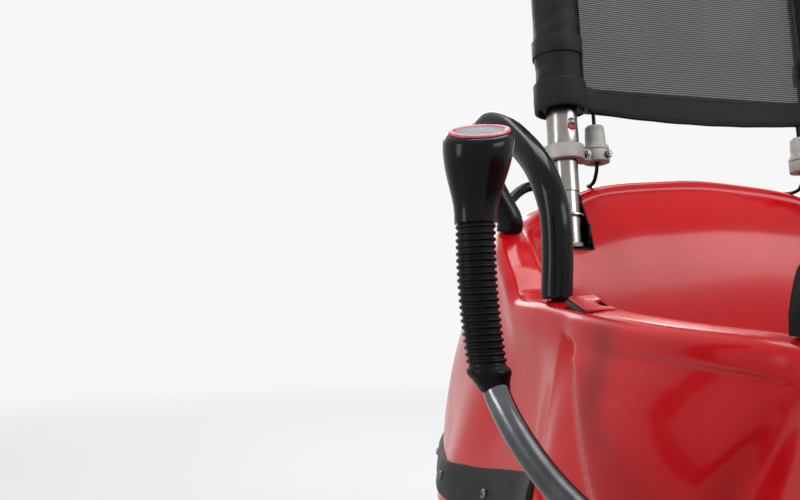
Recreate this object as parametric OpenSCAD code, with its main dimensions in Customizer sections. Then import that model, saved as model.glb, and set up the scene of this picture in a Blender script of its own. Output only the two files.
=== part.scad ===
// Mountain coaster car: a moulded tub on a rail chassis, two brake levers and a net hood.
// Millimetres. Forward is -Y, up is +Z, and z = 0 is the floor under the wheel carriers.

/* [Rails and wheels] */
// From the centre plane to the centre of each rail
rail_x = 210; // [200:2:230]
// Diameter of the rail tube that the car runs on
rail_d = 48; // [42:1:54]
// Height of the rail's centre above the carriers' feet
rail_z = 100; // [96:1:108]
// Diameter of a running wheel
wheel_d = 110; // [100:1:118]
// Width of a running wheel
wheel_w = 40; // [30:1:46]
// Radial depth of the tyre
tyre_depth = 14; // [8:1:20]
// Diameter of a side roller
side_d = 50; // [40:1:56]
// Diameter of a roller under the rail
under_d = 50; // [40:1:56]
// Width of the guide rollers
roller_w = 26; // [20:1:28]
// Running gap between a guide roller and the rail
roller_gap = 2; // [1:0.5:4]
// Diameter of the guide rollers' pins
pin_d = 12; // [10:1:14]
// Place of the front axle along the car
front_axle_y = -460; // [-480:5:-440]
// Place of the rear axle along the car
rear_axle_y = 470; // [440:5:500]
// Diameter of the running axles
axle_d = 25; // [20:1:30]

/* [Chassis] */
// From the centre plane to the centre of each long beam
beam_x = 95; // [85:1:105]
// Width of a long beam
beam_w = 40; // [30:1:50]
// Height of a long beam
beam_h = 50; // [40:1:52]
// Front end of the long beams
beam_front_y = -700; // [-720:5:-680]
// Rear end of the long beams
beam_rear_y = 750; // [700:5:770]
// Thickness of a carrier plate
carrier_t = 12; // [8:1:16]
// Length of a carrier plate at its foot
carrier_len = 140; // [120:2:180]
// Width of a carrier's foot
foot_w = 40; // [30:1:50]
// Thickness of a carrier's foot
foot_t = 8; // [6:1:12]

/* [Tub] */
// Height of the tub's underside
base_z = 250; // [250:1:260]
// Height of the floor inside the tub
floor_z = 280; // [276:1:290]
// Radius of the rounded rim
edge_r = 15; // [8:1:18]
// Height of the black skirt round the rear of the tub
skirt_h = 39; // [38:1:48]
// Height of the skirt at its front ends
skirt_front_h = 76; // [56:1:84]
// Thickness of the skirt
skirt_t = 5; // [3:0.5:8]

/* [Seat] */
// Width of the seat block at its foot
seat_w = 330; // [280:5:350]
// Front end of the seat block
seat_front_y = -400; // [-430:5:-360]
// Rear end of the seat block
seat_rear_y = 28; // [0:2:28]
// Height of the seat block
seat_h = 72; // [50:1:90]
// Thickness of the seat pad
pad_t = 46; // [30:1:60]

/* [Levers] */
// Place of the brake shaft along the car
shaft_y = -620; // [-640:2:-610]
// Height of the brake shaft
shaft_z = 225; // [224:1:227]
// Diameter of the brake shaft
shaft_d = 25; // [20:1:30]
// Diameter of a lever tube
lever_d = 20; // [16:1:22]
// Diameter of the ribbed grip over its ribs
grip_d = 31; // [29:0.5:36]
// Number of ribs on the grip
rib_count = 21; // [12:1:26]
// Pitch of the ribs
rib_pitch = 5.1; // [4.5:0.1:6]
// Diameter of the knob at its top
knob_top_d = 56; // [46:1:62]
// Height of the knob
knob_h = 72; // [60:1:90]

/* [Hood] */
// From the centre plane to each post
post_x = 205; // [200:1:212]
// Place of the posts along the car, at the clamps
post_y = 122; // [118:1:126]
// Diameter of the lower posts
post_d = 30; // [26:0.5:34]
// Outer diameter of the upper sleeves
sleeve_d = 40; // [37:0.5:44]
// Height of the clamps' upper faces
clamp_z = 684; // [676:1:700]
// Bare length of the upper sleeves, from the clamps to the hood
hood_gap = 50; // [40:1:70]
// Straight length of the hoop's sides
hoop_side = 520; // [400:5:600]
// Diameter of the padded hoop
hoop_d = 66; // [56:1:70]
// Backward lean of the hood in degrees
hood_lean = 7; // [0:0.5:12]
// Thickness of the net
net_t = 3; // [2:0.5:5]

/* [Handles] */
// Diameter of the loop handles
loop_d = 30; // [24:1:34]
// Thickness of the leg guards
guard_d = 16; // [12:1:20]

/* [Hidden] */
$fn = 48;
// Clearance between pieces that seat on each other
seat_gap = 0.3;
// Clearance of a pin in its bore, on the diameter
bore_gap = 0.4;
// Running clearance at the side of a roller or wheel
side_gap = 5;

wheel_z = rail_z + (rail_d + wheel_d) / 2;
side_x = rail_x - rail_d / 2 - roller_gap - side_d / 2;
under_z = rail_z - rail_d / 2 - roller_gap - under_d / 2;
carrier_x = beam_x + beam_w / 2;
axle_len = 2 * (rail_x + wheel_w / 2 + 14);
beam_z = base_z - beam_h;
corners = [[1, front_axle_y], [-1, front_axle_y], [1, rear_axle_y], [-1, rear_axle_y]];

// Smooth values between four neighbours in a column, with no overshoot
function slope(a, b, c) = (b - a) * (c - b) <= 0 ? 0 : 2 * (b - a) * (c - b) / (c - a);
function ease(a, b, c, d, t) =
    let (u = t * t, w = t * t * t)
    (2 * w - 3 * u + 1) * b + (w - 2 * u + t) * slope(a, b, c)
    + (3 * u - 2 * w) * c + (w - u) * slope(b, c, d);
function mix(a, b, t) = a + (b - a) * t;
function unit(v) = v / norm(v);

// Stations of the tub from the front centre to the rear centre, one side.
// Columns: rim x, rim y, rim z, foot x, foot y, bulge of the flank, wall at the rim, inner slope,
// overhang of the rim's lip
RIM_X = 0;
RIM_Y = 1;
RIM_Z = 2;
BASE_X = 3;
BASE_Y = 4;
BULGE = 5;
WALL = 6;
INNER = 7;
LIP = 8;
tub_rows = [
    [0, -748, 466, 0, -748, 0, 60, 16, 0],
    [105, -748, 466, 108, -748, 0, 58, 16, 0],
    [190, -747, 458, 198, -747, 0, 50, 16, 1],
    [258, -728, 424, 272, -728, 4, 38, 16, 3],
    [312, -672, 402, 320, -672, 9, 34, 14, 4],
    [336, -600, 402, 340, -590, 12, 34, 12, 4],
    [343, -530, 424, 350, -500, 12, 38, 12, 4],
    [340, -484, 446, 354, -414, 0, 42, 12, 2],
    [338, -462, 456, 354, -372, -9, 44, 12, 1],
    [346, -434, 460, 368, -340, 6, 50, 12, 4],
    [357, -330, 466, 382, -268, 12, 58, 12, 5],
    [361, -225, 474, 388, -200, 12, 60, 12, 4],
    [359, -186, 478, 389, -164, -4, 60, 12, 2],
    [359, -130, 484, 390, -110, -20, 60, 12, 0],
    [357, -72, 488, 390, -14, -24, 56, 14, 0],
    [350, -24, 522, 386, 80, -16, 50, 16, 0],
    [340, 26, 554, 354, 188, -4, 48, 24, 0],
    [322, 82, 576, 314, 300, 8, 48, 34, 0],
    [280, 132, 592, 268, 404, 18, 50, 48, 0],
    [222, 164, 613, 214, 500, 26, 52, 60, 0],
    [150, 176, 637, 150, 580, 34, 52, 68, 0],
    [76, 178, 646, 78, 640, 38, 50, 70, 0],
    [0, 178, 650, 0, 662, 40, 50, 70, 0]];
last_row = len(tub_rows) - 1;
row_total = 2 * last_row;
steps = 3;

// One column at a whole station number, with the far side mirrored
function column(k, c) =
    let (i = (k + 4 * row_total) % row_total, flip = i > last_row ? -1 : 1)
    let (v = tub_rows[i > last_row ? row_total - i : i][c])
    (c == RIM_X || c == BASE_X) ? flip * v : v;
function value(s, c) =
    let (k = floor(s))
    ease(column(k - 1, c), column(k, c), column(k + 1, c), column(k + 2, c), s - k);
function rim_point(s) = [value(s, RIM_X), value(s, RIM_Y)];
function base_point(s) = [value(s, BASE_X), value(s, BASE_Y)];
function outward(s) =
    let (d = rim_point(s + 0.4) - rim_point(s - 0.4))
    unit([d[1], -d[0]]);

// Outer skin from the foot to the lip. Columns: height share, share of the way in, bulge share,
// share of the lip's overhang
skin_rows = [[0, 0, 0, 0], [0.1, 0.06, 0.25, 0], [0.28, 0.2, 0.75, 0], [0.5, 0.42, 1, 0.2],
    [0.72, 0.68, 0.8, 0.7], [0.86, 0.86, 0.4, 1]];
function skin_point(s, row, proud) =
    let (p = base_point(s) + (rim_point(s) - base_point(s)) * row[1])
    let (q = p + outward(s) * (value(s, BULGE) * row[2] - value(s, LIP) * row[3] + proud))
    [q[0], q[1], mix(base_z, value(s, RIM_Z) - edge_r, row[0])];
function rim_offset(s, inset, z) =
    let (q = rim_point(s) - outward(s) * inset)
    [q[0], q[1], z];
edge_angles = [0, 30, 60, 90];
edge_turn = [90, 60, 30, 0];
lip_drop = 13;
lip_step = 4;
// Foot of the inner wall: radius of its rounding, and the share of the slope and height halfway
floor_fillet = 24;
fillet_share = 0.3;
inner_mid = 0.5;
inner_fall = 0.18;
function edge_point(s, inset, way, a) =
    rim_offset(s, inset + way * edge_r * (1 - cos(a)), value(s, RIM_Z) - edge_r * (1 - sin(a)));
function tub_section(s) =
    let (wall = value(s, WALL), low = value(s, RIM_Z) - edge_r, foot = wall + value(s, INNER))
    concat(
        [for (row = skin_rows) skin_point(s, row, 0)],
        [rim_offset(s, value(s, LIP), low - lip_drop),
            rim_offset(s, 0, low - lip_drop + lip_step)],
        [for (a = edge_angles) edge_point(s, 0, 1, a)],
        [for (a = edge_turn) edge_point(s, wall, -1, a)],
        [rim_offset(s, mix(wall, foot, inner_mid), mix(low, floor_z, inner_fall)),
            rim_offset(s, foot, floor_z + floor_fillet),
            rim_offset(s, foot + floor_fillet * fillet_share,
                floor_z + floor_fillet * fillet_share),
            rim_offset(s, foot + floor_fillet, floor_z)]);

// A closed solid from a loop of sections: ring i of section j joins ring i of section j + 1
module closed_loft(sections, low_centre, high_centre) {
    n = len(sections);
    m = len(sections[0]);
    points = concat([for (section = sections) each section], [low_centre, high_centre]);
    sides = [for (j = [0:n - 1]) for (i = [0:m - 2])
        let (a = j * m + i, b = ((j + 1) % n) * m + i)
        each [[a, a + 1, b], [a + 1, b + 1, b]]];
    floor_faces = [for (j = [0:n - 1]) [j * m, ((j + 1) % n) * m, n * m]];
    top_faces = [for (j = [0:n - 1]) [((j + 1) % n) * m + m - 1, j * m + m - 1, n * m + 1]];
    polyhedron(points, concat(sides, floor_faces, top_faces), convexity = 10);
}

// A closed solid from an open row of closed sections; past other_way its faces are split
// along their other diagonal
module open_loft(sections, other_way = 1000) {
    n = len(sections);
    m = len(sections[0]);
    points = [for (section = sections) each section];
    sides = [for (j = [0:n - 2]) for (i = [0:m - 1])
        let (a = j * m + i, b = j * m + (i + 1) % m)
        each (i < other_way ? [[a, b, a + m], [b, b + m, a + m]]
            : [[a, b, b + m], [a, b + m, a + m]])];
    start = [for (i = [m - 1:-1:0]) i];
    finish = [for (i = [0:m - 1]) (n - 1) * m + i];
    polyhedron(points, concat([start, finish], sides), convexity = 10);
}

// A round tube swept along points; each ring is turned least from the one before
function turned(side, way) = unit(side - way * (side * way));
function way_at(path, i) =
    unit(path[min(i + 1, len(path) - 1)] - path[max(i - 1, 0)]);
function side_at(path, i, first) =
    i == 0 ? turned(first, way_at(path, 0)) : turned(side_at(path, i - 1, first), way_at(path, i));
module swept_tube(path, d, sides = 12, first = [1, 0, 0]) {
    open_loft([for (i = [0:len(path) - 1])
        let (way = way_at(path, i), side = side_at(path, i, first), up = cross(way, side))
        [for (k = [0:sides - 1])
            path[i] + (side * cos(k * 360 / sides) + up * sin(k * 360 / sides)) * d / 2]]);
}

// Points along a smooth route through a few chosen ones
function route_point(p, s) =
    let (n = len(p) - 1, k = min(floor(s), n - 1), t = s - k)
    let (a = p[max(k - 1, 0)], b = p[k], c = p[k + 1], d = p[min(k + 2, n)])
    0.5 * (2 * b + (c - a) * t + (2 * a - 5 * b + 4 * c - d) * t * t
        + (3 * b - 3 * c + d - a) * t * t * t);
function route(p, parts) =
    let (n = len(p) - 1)
    [for (i = [0:n * parts]) route_point(p, i / parts)];

module both_sides() {
    children();
    mirror([1, 0, 0]) children();
}

// Cross members of the chassis. Columns: place along the car, width along the car
cross_rows = [[beam_front_y + 20, 40], [-260, 50], [180, 50], [beam_rear_y - 20, 40]];
cross_h = 34;
module chassis() {
    color("dimgray") difference() {
        union() {
            for (side = [-1, 1])
                translate([side * beam_x - beam_w / 2, beam_front_y, beam_z])
                    cube([beam_w, beam_rear_y - beam_front_y, beam_h]);
            for (row = cross_rows)
                translate([-beam_x, row[0] - row[1] / 2, beam_z + (beam_h - cross_h) / 2])
                    cube([2 * beam_x, row[1], cross_h]);
        }
        translate([0, shaft_y, shaft_z]) rotate([0, 90, 0])
            cylinder(d = shaft_d + bore_gap, h = 2 * beam_x + 2 * beam_w, center = true);
    }
}

lug_t = 8;
lug_reach = side_x + pin_d / 2 + 9;
module wheel_carrier() {
    difference() {
        union() {
            translate([carrier_x, 0, 0]) rotate([90, 0, 90]) linear_extrude(carrier_t)
                polygon([[-carrier_len / 2, 0], [carrier_len / 2, 0], [carrier_len / 2, foot_t],
                    [46, 60], [46, 150], [32, base_z - 1], [-32, base_z - 1], [-46, 150],
                    [-46, 60], [-carrier_len / 2, foot_t]]);
            translate([carrier_x, -carrier_len / 2, 0]) cube([foot_w, carrier_len, foot_t]);
            for (z = [rail_z - roller_w / 2 - side_gap - lug_t, rail_z + roller_w / 2 + side_gap])
                translate([carrier_x, -22, z]) cube([lug_reach - carrier_x, 44, lug_t]);
            translate([carrier_x, 0, wheel_z]) rotate([0, 90, 0])
                cylinder(d = axle_d + 26, h = rail_x - wheel_w / 2 - side_gap - carrier_x);
            translate([carrier_x, 0, under_z]) rotate([0, 90, 0])
                cylinder(d = pin_d + 16, h = rail_x - roller_w / 2 - side_gap - carrier_x);
        }
        translate([carrier_x - 1, 0, wheel_z]) rotate([0, 90, 0])
            cylinder(d = axle_d + bore_gap, h = 200);
        translate([carrier_x - 1, 0, under_z]) rotate([0, 90, 0])
            cylinder(d = pin_d + 0.2, h = 200);
        translate([side_x, 0, rail_z - 60]) cylinder(d = pin_d + 0.2, h = 120);
    }
}

module wheel_carriers() {
    color("slategray") for (c = corners)
        translate([0, c[1], 0]) mirror([c[0] < 0 ? 1 : 0, 0, 0]) wheel_carrier();
}

pin_head = 5;
module guide_pin_pair() {
    under_end = rail_x + roller_w / 2 + side_gap;
    translate([carrier_x, 0, under_z]) rotate([0, 90, 0]) {
        cylinder(d = pin_d, h = under_end - carrier_x);
        translate([0, 0, under_end - carrier_x]) cylinder(d = pin_d + 10, h = pin_head);
    }
    half = roller_w / 2 + side_gap + lug_t;
    translate([side_x, 0, rail_z - half]) cylinder(d = pin_d, h = 2 * half);
    translate([side_x, 0, rail_z + half]) cylinder(d = pin_d + 8, h = pin_head);
}

module guide_pins() {
    color("silver") for (c = corners)
        translate([0, c[1], 0]) mirror([c[0] < 0 ? 1 : 0, 0, 0]) guide_pin_pair();
}

module roller(d, w) {
    rotate_extrude() difference() {
        polygon([[pin_d / 2 + bore_gap / 2, -w / 2], [d / 2 - 3, -w / 2], [d / 2, -w / 2 + 3],
            [d / 2, w / 2 - 3], [d / 2 - 3, w / 2], [pin_d / 2 + bore_gap / 2, w / 2]]);
        for (side = [-1, 1])
            translate([(d / 2 + pin_d / 2) / 2, side * w / 2])
                square([d / 2 - pin_d / 2 - 12, 5], center = true);
    }
}

module side_roller(c) {
    color("darkorange") translate([c[0] * side_x, c[1], rail_z]) roller(side_d, roller_w);
}
module under_roller(c) {
    color("darkorange") translate([c[0] * rail_x, c[1], under_z]) rotate([0, 90, 0])
        roller(under_d, roller_w);
}
module side_roller_1() { side_roller(corners[0]); }
module side_roller_2() { side_roller(corners[1]); }
module side_roller_3() { side_roller(corners[2]); }
module side_roller_4() { side_roller(corners[3]); }
module under_roller_1() { under_roller(corners[0]); }
module under_roller_2() { under_roller(corners[1]); }
module under_roller_3() { under_roller(corners[2]); }
module under_roller_4() { under_roller(corners[3]); }

hub_r = wheel_d / 2 - tyre_depth;
module wheelset() {
    rotate([0, 90, 0]) cylinder(d = axle_d, h = axle_len, center = true);
    for (side = [-1, 1])
        translate([side * rail_x, 0, 0]) rotate([0, 90, 0])
            rotate_extrude() difference() {
                translate([axle_d / 2 - 1, -wheel_w / 2])
                    square([hub_r - axle_d / 2 + 1, wheel_w]);
                for (face = [-1, 1])
                    translate([(hub_r + axle_d / 2) / 2 + 3, face * wheel_w / 2])
                        square([hub_r - axle_d / 2 - 14, wheel_w * 0.6], center = true);
            }
}
module tyres() {
    for (side = [-1, 1])
        translate([side * rail_x, 0, 0]) rotate([0, 90, 0]) rotate_extrude()
            polygon([[hub_r + 0.1, -wheel_w / 2], [wheel_d / 2 - 4, -wheel_w / 2],
                [wheel_d / 2, -wheel_w / 2 + 4], [wheel_d / 2, wheel_w / 2 - 4],
                [wheel_d / 2 - 4, wheel_w / 2], [hub_r + 0.1, wheel_w / 2]]);
}
module front_wheelset() { color("lightgray") translate([0, front_axle_y, wheel_z]) wheelset(); }
module rear_wheelset() { color("lightgray") translate([0, rear_axle_y, wheel_z]) wheelset(); }
module front_tyres() { color("peru") translate([0, front_axle_y, wheel_z]) tyres(); }
module rear_tyres() { color("peru") translate([0, rear_axle_y, wheel_z]) tyres(); }

// Open-fronted pocket for each post in the tub's broad shoulder
pocket_w = post_d + 20;
pocket_front = 60;
pocket_back = 26;
pocket_z = 548;
pocket_h = 200;
// Pocket for each belt latch in the rim
latch_x = 338;
latch_y = -204;
latch_z = 476;
latch_tilt = 8;
latch_w = 27;
latch_len = 52;
latch_depth = 9;
latch_wall = 4;
module latch_frame() {
    both_sides() translate([latch_x, latch_y, latch_z]) rotate([latch_tilt, 0, 0]) children();
}
// Points that the tub's underside and floor fan out from
foot_centre = [0, -60, base_z];
floor_centre = [0, -250, floor_z];
module tub_shell() {
    color("firebrick") difference() {
        closed_loft([for (i = [0:row_total * steps - 1]) tub_section(i / steps)],
            foot_centre, floor_centre);
        both_sides() translate([post_x - pocket_w / 2, post_y - pocket_front, pocket_z])
            cube([pocket_w, pocket_front + pocket_back, pocket_h]);
        latch_frame() translate([-latch_w / 2, -latch_len / 2, -latch_depth])
            cube([latch_w, latch_len, latch_depth + 20]);
    }
}

// The skirt follows the flank's lower part, lower round the rear than at its front ends
skirt_from = 12;
skirt_fall = 4.5;
skirt_gap = 2.6 * seat_gap;
flank_h = 300;
flank_front_h = 216;
skirt_low = 0.04;
skin_bend = skin_rows[2][0];
function skin_at(h) =
    let (k = h < skin_rows[1][0] ? 0 : h < skin_bend ? 1 : 2, a = skin_rows[k], b = skin_rows[k + 1])
    mix(a, b, (h - a[0]) / (b[0] - a[0]));
function skirt_rows(s) =
    let (t = min(1, max(0, (min(s, row_total - s) - skirt_from) / skirt_fall)))
    let (top = mix(skirt_front_h / flank_front_h, skirt_h / flank_h, t * t * (3 - 2 * t)))
    let (middle = top > skin_bend + 0.01 ? skin_bend : mix(skin_rows[1][0], top, 0.5))
    [for (h = [skirt_low, skin_rows[1][0], middle, top]) skin_at(h)];
module base_skirt() {
    count = (row_total - 2 * skirt_from) * steps;
    color("black") open_loft([for (i = [0:count])
        let (s = skirt_from + i / steps, rows = skirt_rows(s))
        concat([for (row = rows) skin_point(s, row, skirt_t + skirt_gap)],
            [for (k = [3:-1:0]) skin_point(s, rows[k], skirt_gap)])], 4);
}

// A plate with a rounded outline in plan: wide at the front, narrower at the rear
seat_corner_r = 32;
seat_waist_y = -110;
seat_waist_in = 12;
seat_rear_in = 80;
module seat_plate(inset, z, t) {
    w = seat_w / 2 - inset;
    r = seat_corner_r;
    for (side = [-1, 1]) {
        translate([side * (w - r), seat_front_y + inset + r, z]) cylinder(r = r, h = t, $fn = 32);
        translate([side * (w - r - seat_waist_in), seat_waist_y, z]) cylinder(r = r, h = t, $fn = 32);
        translate([side * (w - r - seat_rear_in), seat_rear_y - inset - r, z])
            cylinder(r = r, h = t, $fn = 32);
    }
}
seat_top = floor_z + seat_gap + seat_h;
module seat_plinth() {
    color("firebrick") hull() {
        seat_plate(0, floor_z + seat_gap, 6);
        seat_plate(6, seat_top - 12, 2);
        seat_plate(14, seat_top - 1, 1);
    }
}
module seat_pad() {
    low = seat_top + seat_gap;
    color("gray") hull() {
        seat_plate(20, low, 1);
        seat_plate(14, low + 10, pad_t - 24);
        seat_plate(22, low + pad_t - 6, 1);
        seat_plate(34, low + pad_t - 1, 1);
    }
}

// A pad with a rounded outline, seen along the car, its thickness along Y
module rounded_plate(w, z0, z1, r, y, t) {
    for (side = [-1, 1])
        for (z = [z0 + r, z1 - r])
            translate([side * (w / 2 - r), y, z]) rotate([-90, 0, 0])
                cylinder(r = r, h = t, $fn = 32);
}
bumper_w = 380;
bumper_low = base_z + 4;
bumper_high = 448;
bumper_t = 50;
module front_bumper() {
    back = tub_rows[0][RIM_Y] - seat_gap;
    color("black") hull() {
        rounded_plate(bumper_w - 8, bumper_low + 4, bumper_high - 4, 34, back - 2, 2);
        rounded_plate(bumper_w, bumper_low, bumper_high, 38, back - 32, 24);
        rounded_plate(bumper_w - 18, bumper_low + 9, bumper_high - 9, 34, back - 44, 2);
        rounded_plate(bumper_w - 44, bumper_low + 22, bumper_high - 22, 30, back - bumper_t, 1);
    }
}
rear_bumper_w = 290;
rear_bumper_low = beam_z - 8;
rear_bumper_high = base_z + 24;
rear_bumper_t = 48;
module rear_bumper() {
    front = beam_rear_y + seat_gap;
    low = rear_bumper_low;
    high = rear_bumper_high;
    color("black") hull() {
        rounded_plate(rear_bumper_w, low, high, 26, front, rear_bumper_t - 18);
        rounded_plate(rear_bumper_w - 20, low + 10, high - 10, 22, front + rear_bumper_t - 6, 1);
        rounded_plate(rear_bumper_w - 50, low + 22, high - 22, 16, front + rear_bumper_t - 1, 1);
    }
}

// Leg guards: a moulded openwork plate over each low corner, standing on the rim at both ends.
// Columns: place along the plate, lower edge, upper edge
guard_from = [318, -452];
guard_to = [160, -722];
guard_rows = [[-12, 461, 474], [-6, 460.4, 502], [14, 456.8, 519], [60, 458, 531],
    [110, 460, 536], [170, 459, 530], [230, 460, 514], [285, 463, 494], [306, 463.4, 484],
    [313, 467, 474]];
guard_last = len(guard_rows) - 1;
// Windows and legs. Columns: first and last station of each; a leg's foot height comes third
guard_windows = [[1.95, 3.1], [3.35, 4], [4.2, 6.15]];
guard_leg_rows = [[64, 78, 392], [110, 122, 378]];
guard_leg_top = 466;
guard_leg_taper = 2;
// Height of the bars under and over the windows
guard_low_bar = 12;
guard_high_bar = 13;
function guard_value(s, c) =
    let (k = min(floor(s), guard_last - 1), last = guard_last)
    ease(guard_rows[max(k - 1, 0)][c], guard_rows[k][c], guard_rows[k + 1][c],
        guard_rows[min(k + 2, last)][c], s - k);
function guard_outline(from, to, low_inset, high_inset, parts) = concat(
    [for (i = [0:parts]) let (s = mix(from, to, i / parts))
        [guard_value(s, 0), guard_value(s, 1) + low_inset]],
    [for (i = [parts:-1:0]) let (s = mix(from, to, i / parts))
        [guard_value(s, 0), guard_value(s, 2) - high_inset]]);
module leg_guard() {
    way = guard_to - guard_from;
    translate(guard_from) rotate([90, 0, atan2(way[1], way[0])])
        linear_extrude(guard_d, center = true) {
            difference() {
                polygon(guard_outline(0, guard_last, 0, 0, 4 * guard_last));
                for (w = guard_windows)
                    polygon(guard_outline(w[0], w[1], guard_low_bar, guard_high_bar, 6));
            }
            for (leg = guard_leg_rows)
                polygon([[leg[0], guard_leg_top], [leg[0] + guard_leg_taper, leg[2]],
                    [leg[1] - guard_leg_taper, leg[2]], [leg[1], guard_leg_top]]);
        }
}
module leg_guards() { color("black") both_sides() leg_guard(); }

// Loop handles: one smooth route from the foot over the top to the wing
loop_points = [[341, -140, 485], [343, -140, 530], [345, -136, 570], [345, -124, 600],
    [345, -99, 628], [346, -64, 655], [352, -30, 682], [356, 8, 688], [352, 36, 668],
    [341, 46, 634], [328, 42, 604], [315, 38.6, 578.4], [314, 42.6, 567.5]];
module loop_handles() { color("black") both_sides() swept_tube(route(loop_points, 3), loop_d, 12); }

hose_d = 13;
hose_points = [[297, 88, 582.8], [298.4, 85.4, 593.5], [288, 96, 611], [261, 109, 628],
    [post_x + post_d / 2 + 1, 116, 633]];
module hose_guides() { color("black") both_sides() swept_tube(route(hose_points, 3), hose_d, 8); }

module latch_sockets() {
    color("black") latch_frame() difference() {
        translate([-latch_w / 2 + seat_gap, -latch_len / 2 + seat_gap, -latch_depth + seat_gap])
            cube([latch_w - 2 * seat_gap, latch_len - 2 * seat_gap, latch_depth + 3]);
        translate([-latch_w / 2 + latch_wall, -latch_len / 2 + latch_wall, -3])
            cube([latch_w - 2 * latch_wall, latch_len - 2 * latch_wall, 20]);
    }
}
module latch_plates() {
    len = latch_len - 2 * latch_wall - 2;
    wide = latch_w - 2 * latch_wall - 1.2;
    color("crimson") latch_frame() translate([-wide / 2, -len / 2, -3 + seat_gap])
        difference() {
            cube([wide, len, 8]);
            translate([latch_wall, len * 0.56, -1]) cube([wide - 2 * latch_wall, len * 0.24, 20]);
        }
}

// The hood's own frame: its origin on the clamps' upper faces, leaning back
module hood_frame() {
    translate([0, post_y, clamp_z]) rotate([-hood_lean, 0, 0]) children();
}
liner_len = 52;
liner_h = 34;
liner_t = 4;
module post_liners() {
    color("black") both_sides() difference() {
        translate([post_x - pocket_w / 2 + seat_gap, post_y + pocket_back - liner_len,
            pocket_z + seat_gap])
            cube([pocket_w - 2 * seat_gap, liner_len - seat_gap, liner_h]);
        translate([post_x - pocket_w / 2 + liner_t, post_y - pocket_front, pocket_z + liner_t])
            cube([pocket_w - 2 * liner_t, pocket_front + pocket_back - liner_t, 2 * liner_h]);
    }
}
foot_disc_t = 6;
post_drop = (clamp_z - pocket_z - liner_t - foot_disc_t / 2) / cos(hood_lean);
module lower_posts() {
    color("silver") both_sides() {
        hood_frame() translate([post_x, 0, -post_drop]) cylinder(d = post_d, h = post_drop + 40);
        hood_frame() translate([post_x, 0, -94]) cylinder(d = post_d + 10, h = 3);
        translate([post_x, post_y - (clamp_z - pocket_z) * tan(hood_lean),
            pocket_z + liner_t + seat_gap])
            cylinder(d = post_d + 6, h = foot_disc_t);
    }
}
module upper_sleeves() {
    color("silver") hood_frame() both_sides() translate([post_x, 0, 0]) difference() {
        cylinder(d = sleeve_d, h = hood_gap);
        translate([0, 0, -1]) cylinder(d = post_d + bore_gap, h = hood_gap + 2);
        translate([-4, 0, hood_gap * 0.56]) rotate([90, 0, 0]) cylinder(d = 8, h = 40);
    }
}
clamp_h = 20;
arm_len = 46;
gland_seat_d = 34;
module post_clamps() {
    color("gainsboro") hood_frame() both_sides() difference() {
        union() {
            translate([post_x, 0, -clamp_h]) cylinder(d = post_d + 22, h = clamp_h - seat_gap);
            translate([post_x - arm_len, -10, -clamp_h]) cube([arm_len, 20, clamp_h - 4]);
            translate([post_x - arm_len, 0, -clamp_h]) cylinder(d = gland_seat_d, h = clamp_h - 4);
        }
        translate([post_x, 0, -60]) cylinder(d = post_d + bore_gap, h = 100);
        translate([post_x - arm_len, 0, -60]) cylinder(d = 16, h = 100);
    }
}
gland_h = 42;
cord_d = 5;
gland_bore = cord_d / 2 + seat_gap;
module cord_glands() {
    low = -clamp_h + 4;
    color("gainsboro") hood_frame() both_sides() translate([post_x - arm_len, 0, 0])
        rotate_extrude() polygon([[gland_bore, low], [7.7, low], [7.7, -4 + seat_gap],
            [gland_seat_d / 2, -4 + seat_gap], [gland_seat_d / 2 - 3, 4], [13, 9],
            [12.4, gland_h - 18], [10.5, gland_h - 12], [gland_bore, gland_h - 12]]);
}
cord_x = post_x - arm_len;
// A height along the hood's own upright at the cords
function hood_rise(z) =
    [cord_x, post_y + z * sin(hood_lean), clamp_z + z * cos(hood_lean)];
cord_points = concat([[cord_x - 4, 152, 638.4], [cord_x - 2, 140, 638.2], [cord_x, 127, 642.5],
    [cord_x, 120.8, 654]],
    [for (z = [-20, -8, 14, 32, 40, 44, 47.6]) hood_rise(z)]);
module tether_cords() { color("black") both_sides() swept_tube(route(cord_points, 3), cord_d, 8); }

// Centre line of the hoop in the hood's frame, from one side over the top to the other
hoop_path = concat(
    [for (k = [0:3]) [post_x, 0, hood_gap + seat_gap + hoop_side * k / 4]],
    [for (a = [0:10:180]) [post_x * cos(a), 0, hood_gap + hoop_side + post_x * sin(a)]],
    [for (k = [3:-1:0]) [-post_x, 0, hood_gap + seat_gap + hoop_side * k / 4]]);
module hood_hoop() {
    color("black") hood_frame() swept_tube(hoop_path, hoop_d, 16, [0, 1, 0]);
}
strap_t = 2.5;
net_r = post_x - hoop_d / 2 - strap_t - 2 * seat_gap;
hem_h = 32;
module hood_net() {
    low = hood_gap + hem_h + seat_gap;
    color("black", 0.6) hood_frame() rotate([90, 0, 0])
        linear_extrude(net_t, center = true) {
            translate([-net_r, low]) square([2 * net_r, hood_gap + hoop_side - low]);
            intersection() {
                translate([0, hood_gap + hoop_side]) circle(net_r);
                translate([-net_r, hood_gap + hoop_side - 1]) square([2 * net_r, net_r + 2]);
            }
        }
}
hem_sag = 10;
hem_r = (net_r * net_r + hem_sag * hem_sag) / (2 * hem_sag);
module hood_hem() {
    color("black") hood_frame() rotate([90, 0, 0]) linear_extrude(8, center = true)
        intersection() {
            translate([-net_r, hood_gap - hem_sag]) square([2 * net_r, hem_h + hem_sag]);
            translate([0, hood_gap - hem_sag + hem_r]) circle(hem_r, $fn = 180);
        }
}
patch_z = 535;
module hood_patch() {
    color("black") hood_frame() translate([-80, -net_t / 2 - seat_gap - 2, patch_z])
        cube([160, 2, 54]);
}
strap_rows = [120, 475];
module hood_straps() {
    color("black") hood_frame() both_sides() for (z = strap_rows)
        translate([post_x, 0, z]) difference() {
            cylinder(d = hoop_d + 2 * strap_t, h = 24);
            translate([0, 0, -1]) cylinder(d = hoop_d + 2 * seat_gap, h = 26);
        }
}

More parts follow.
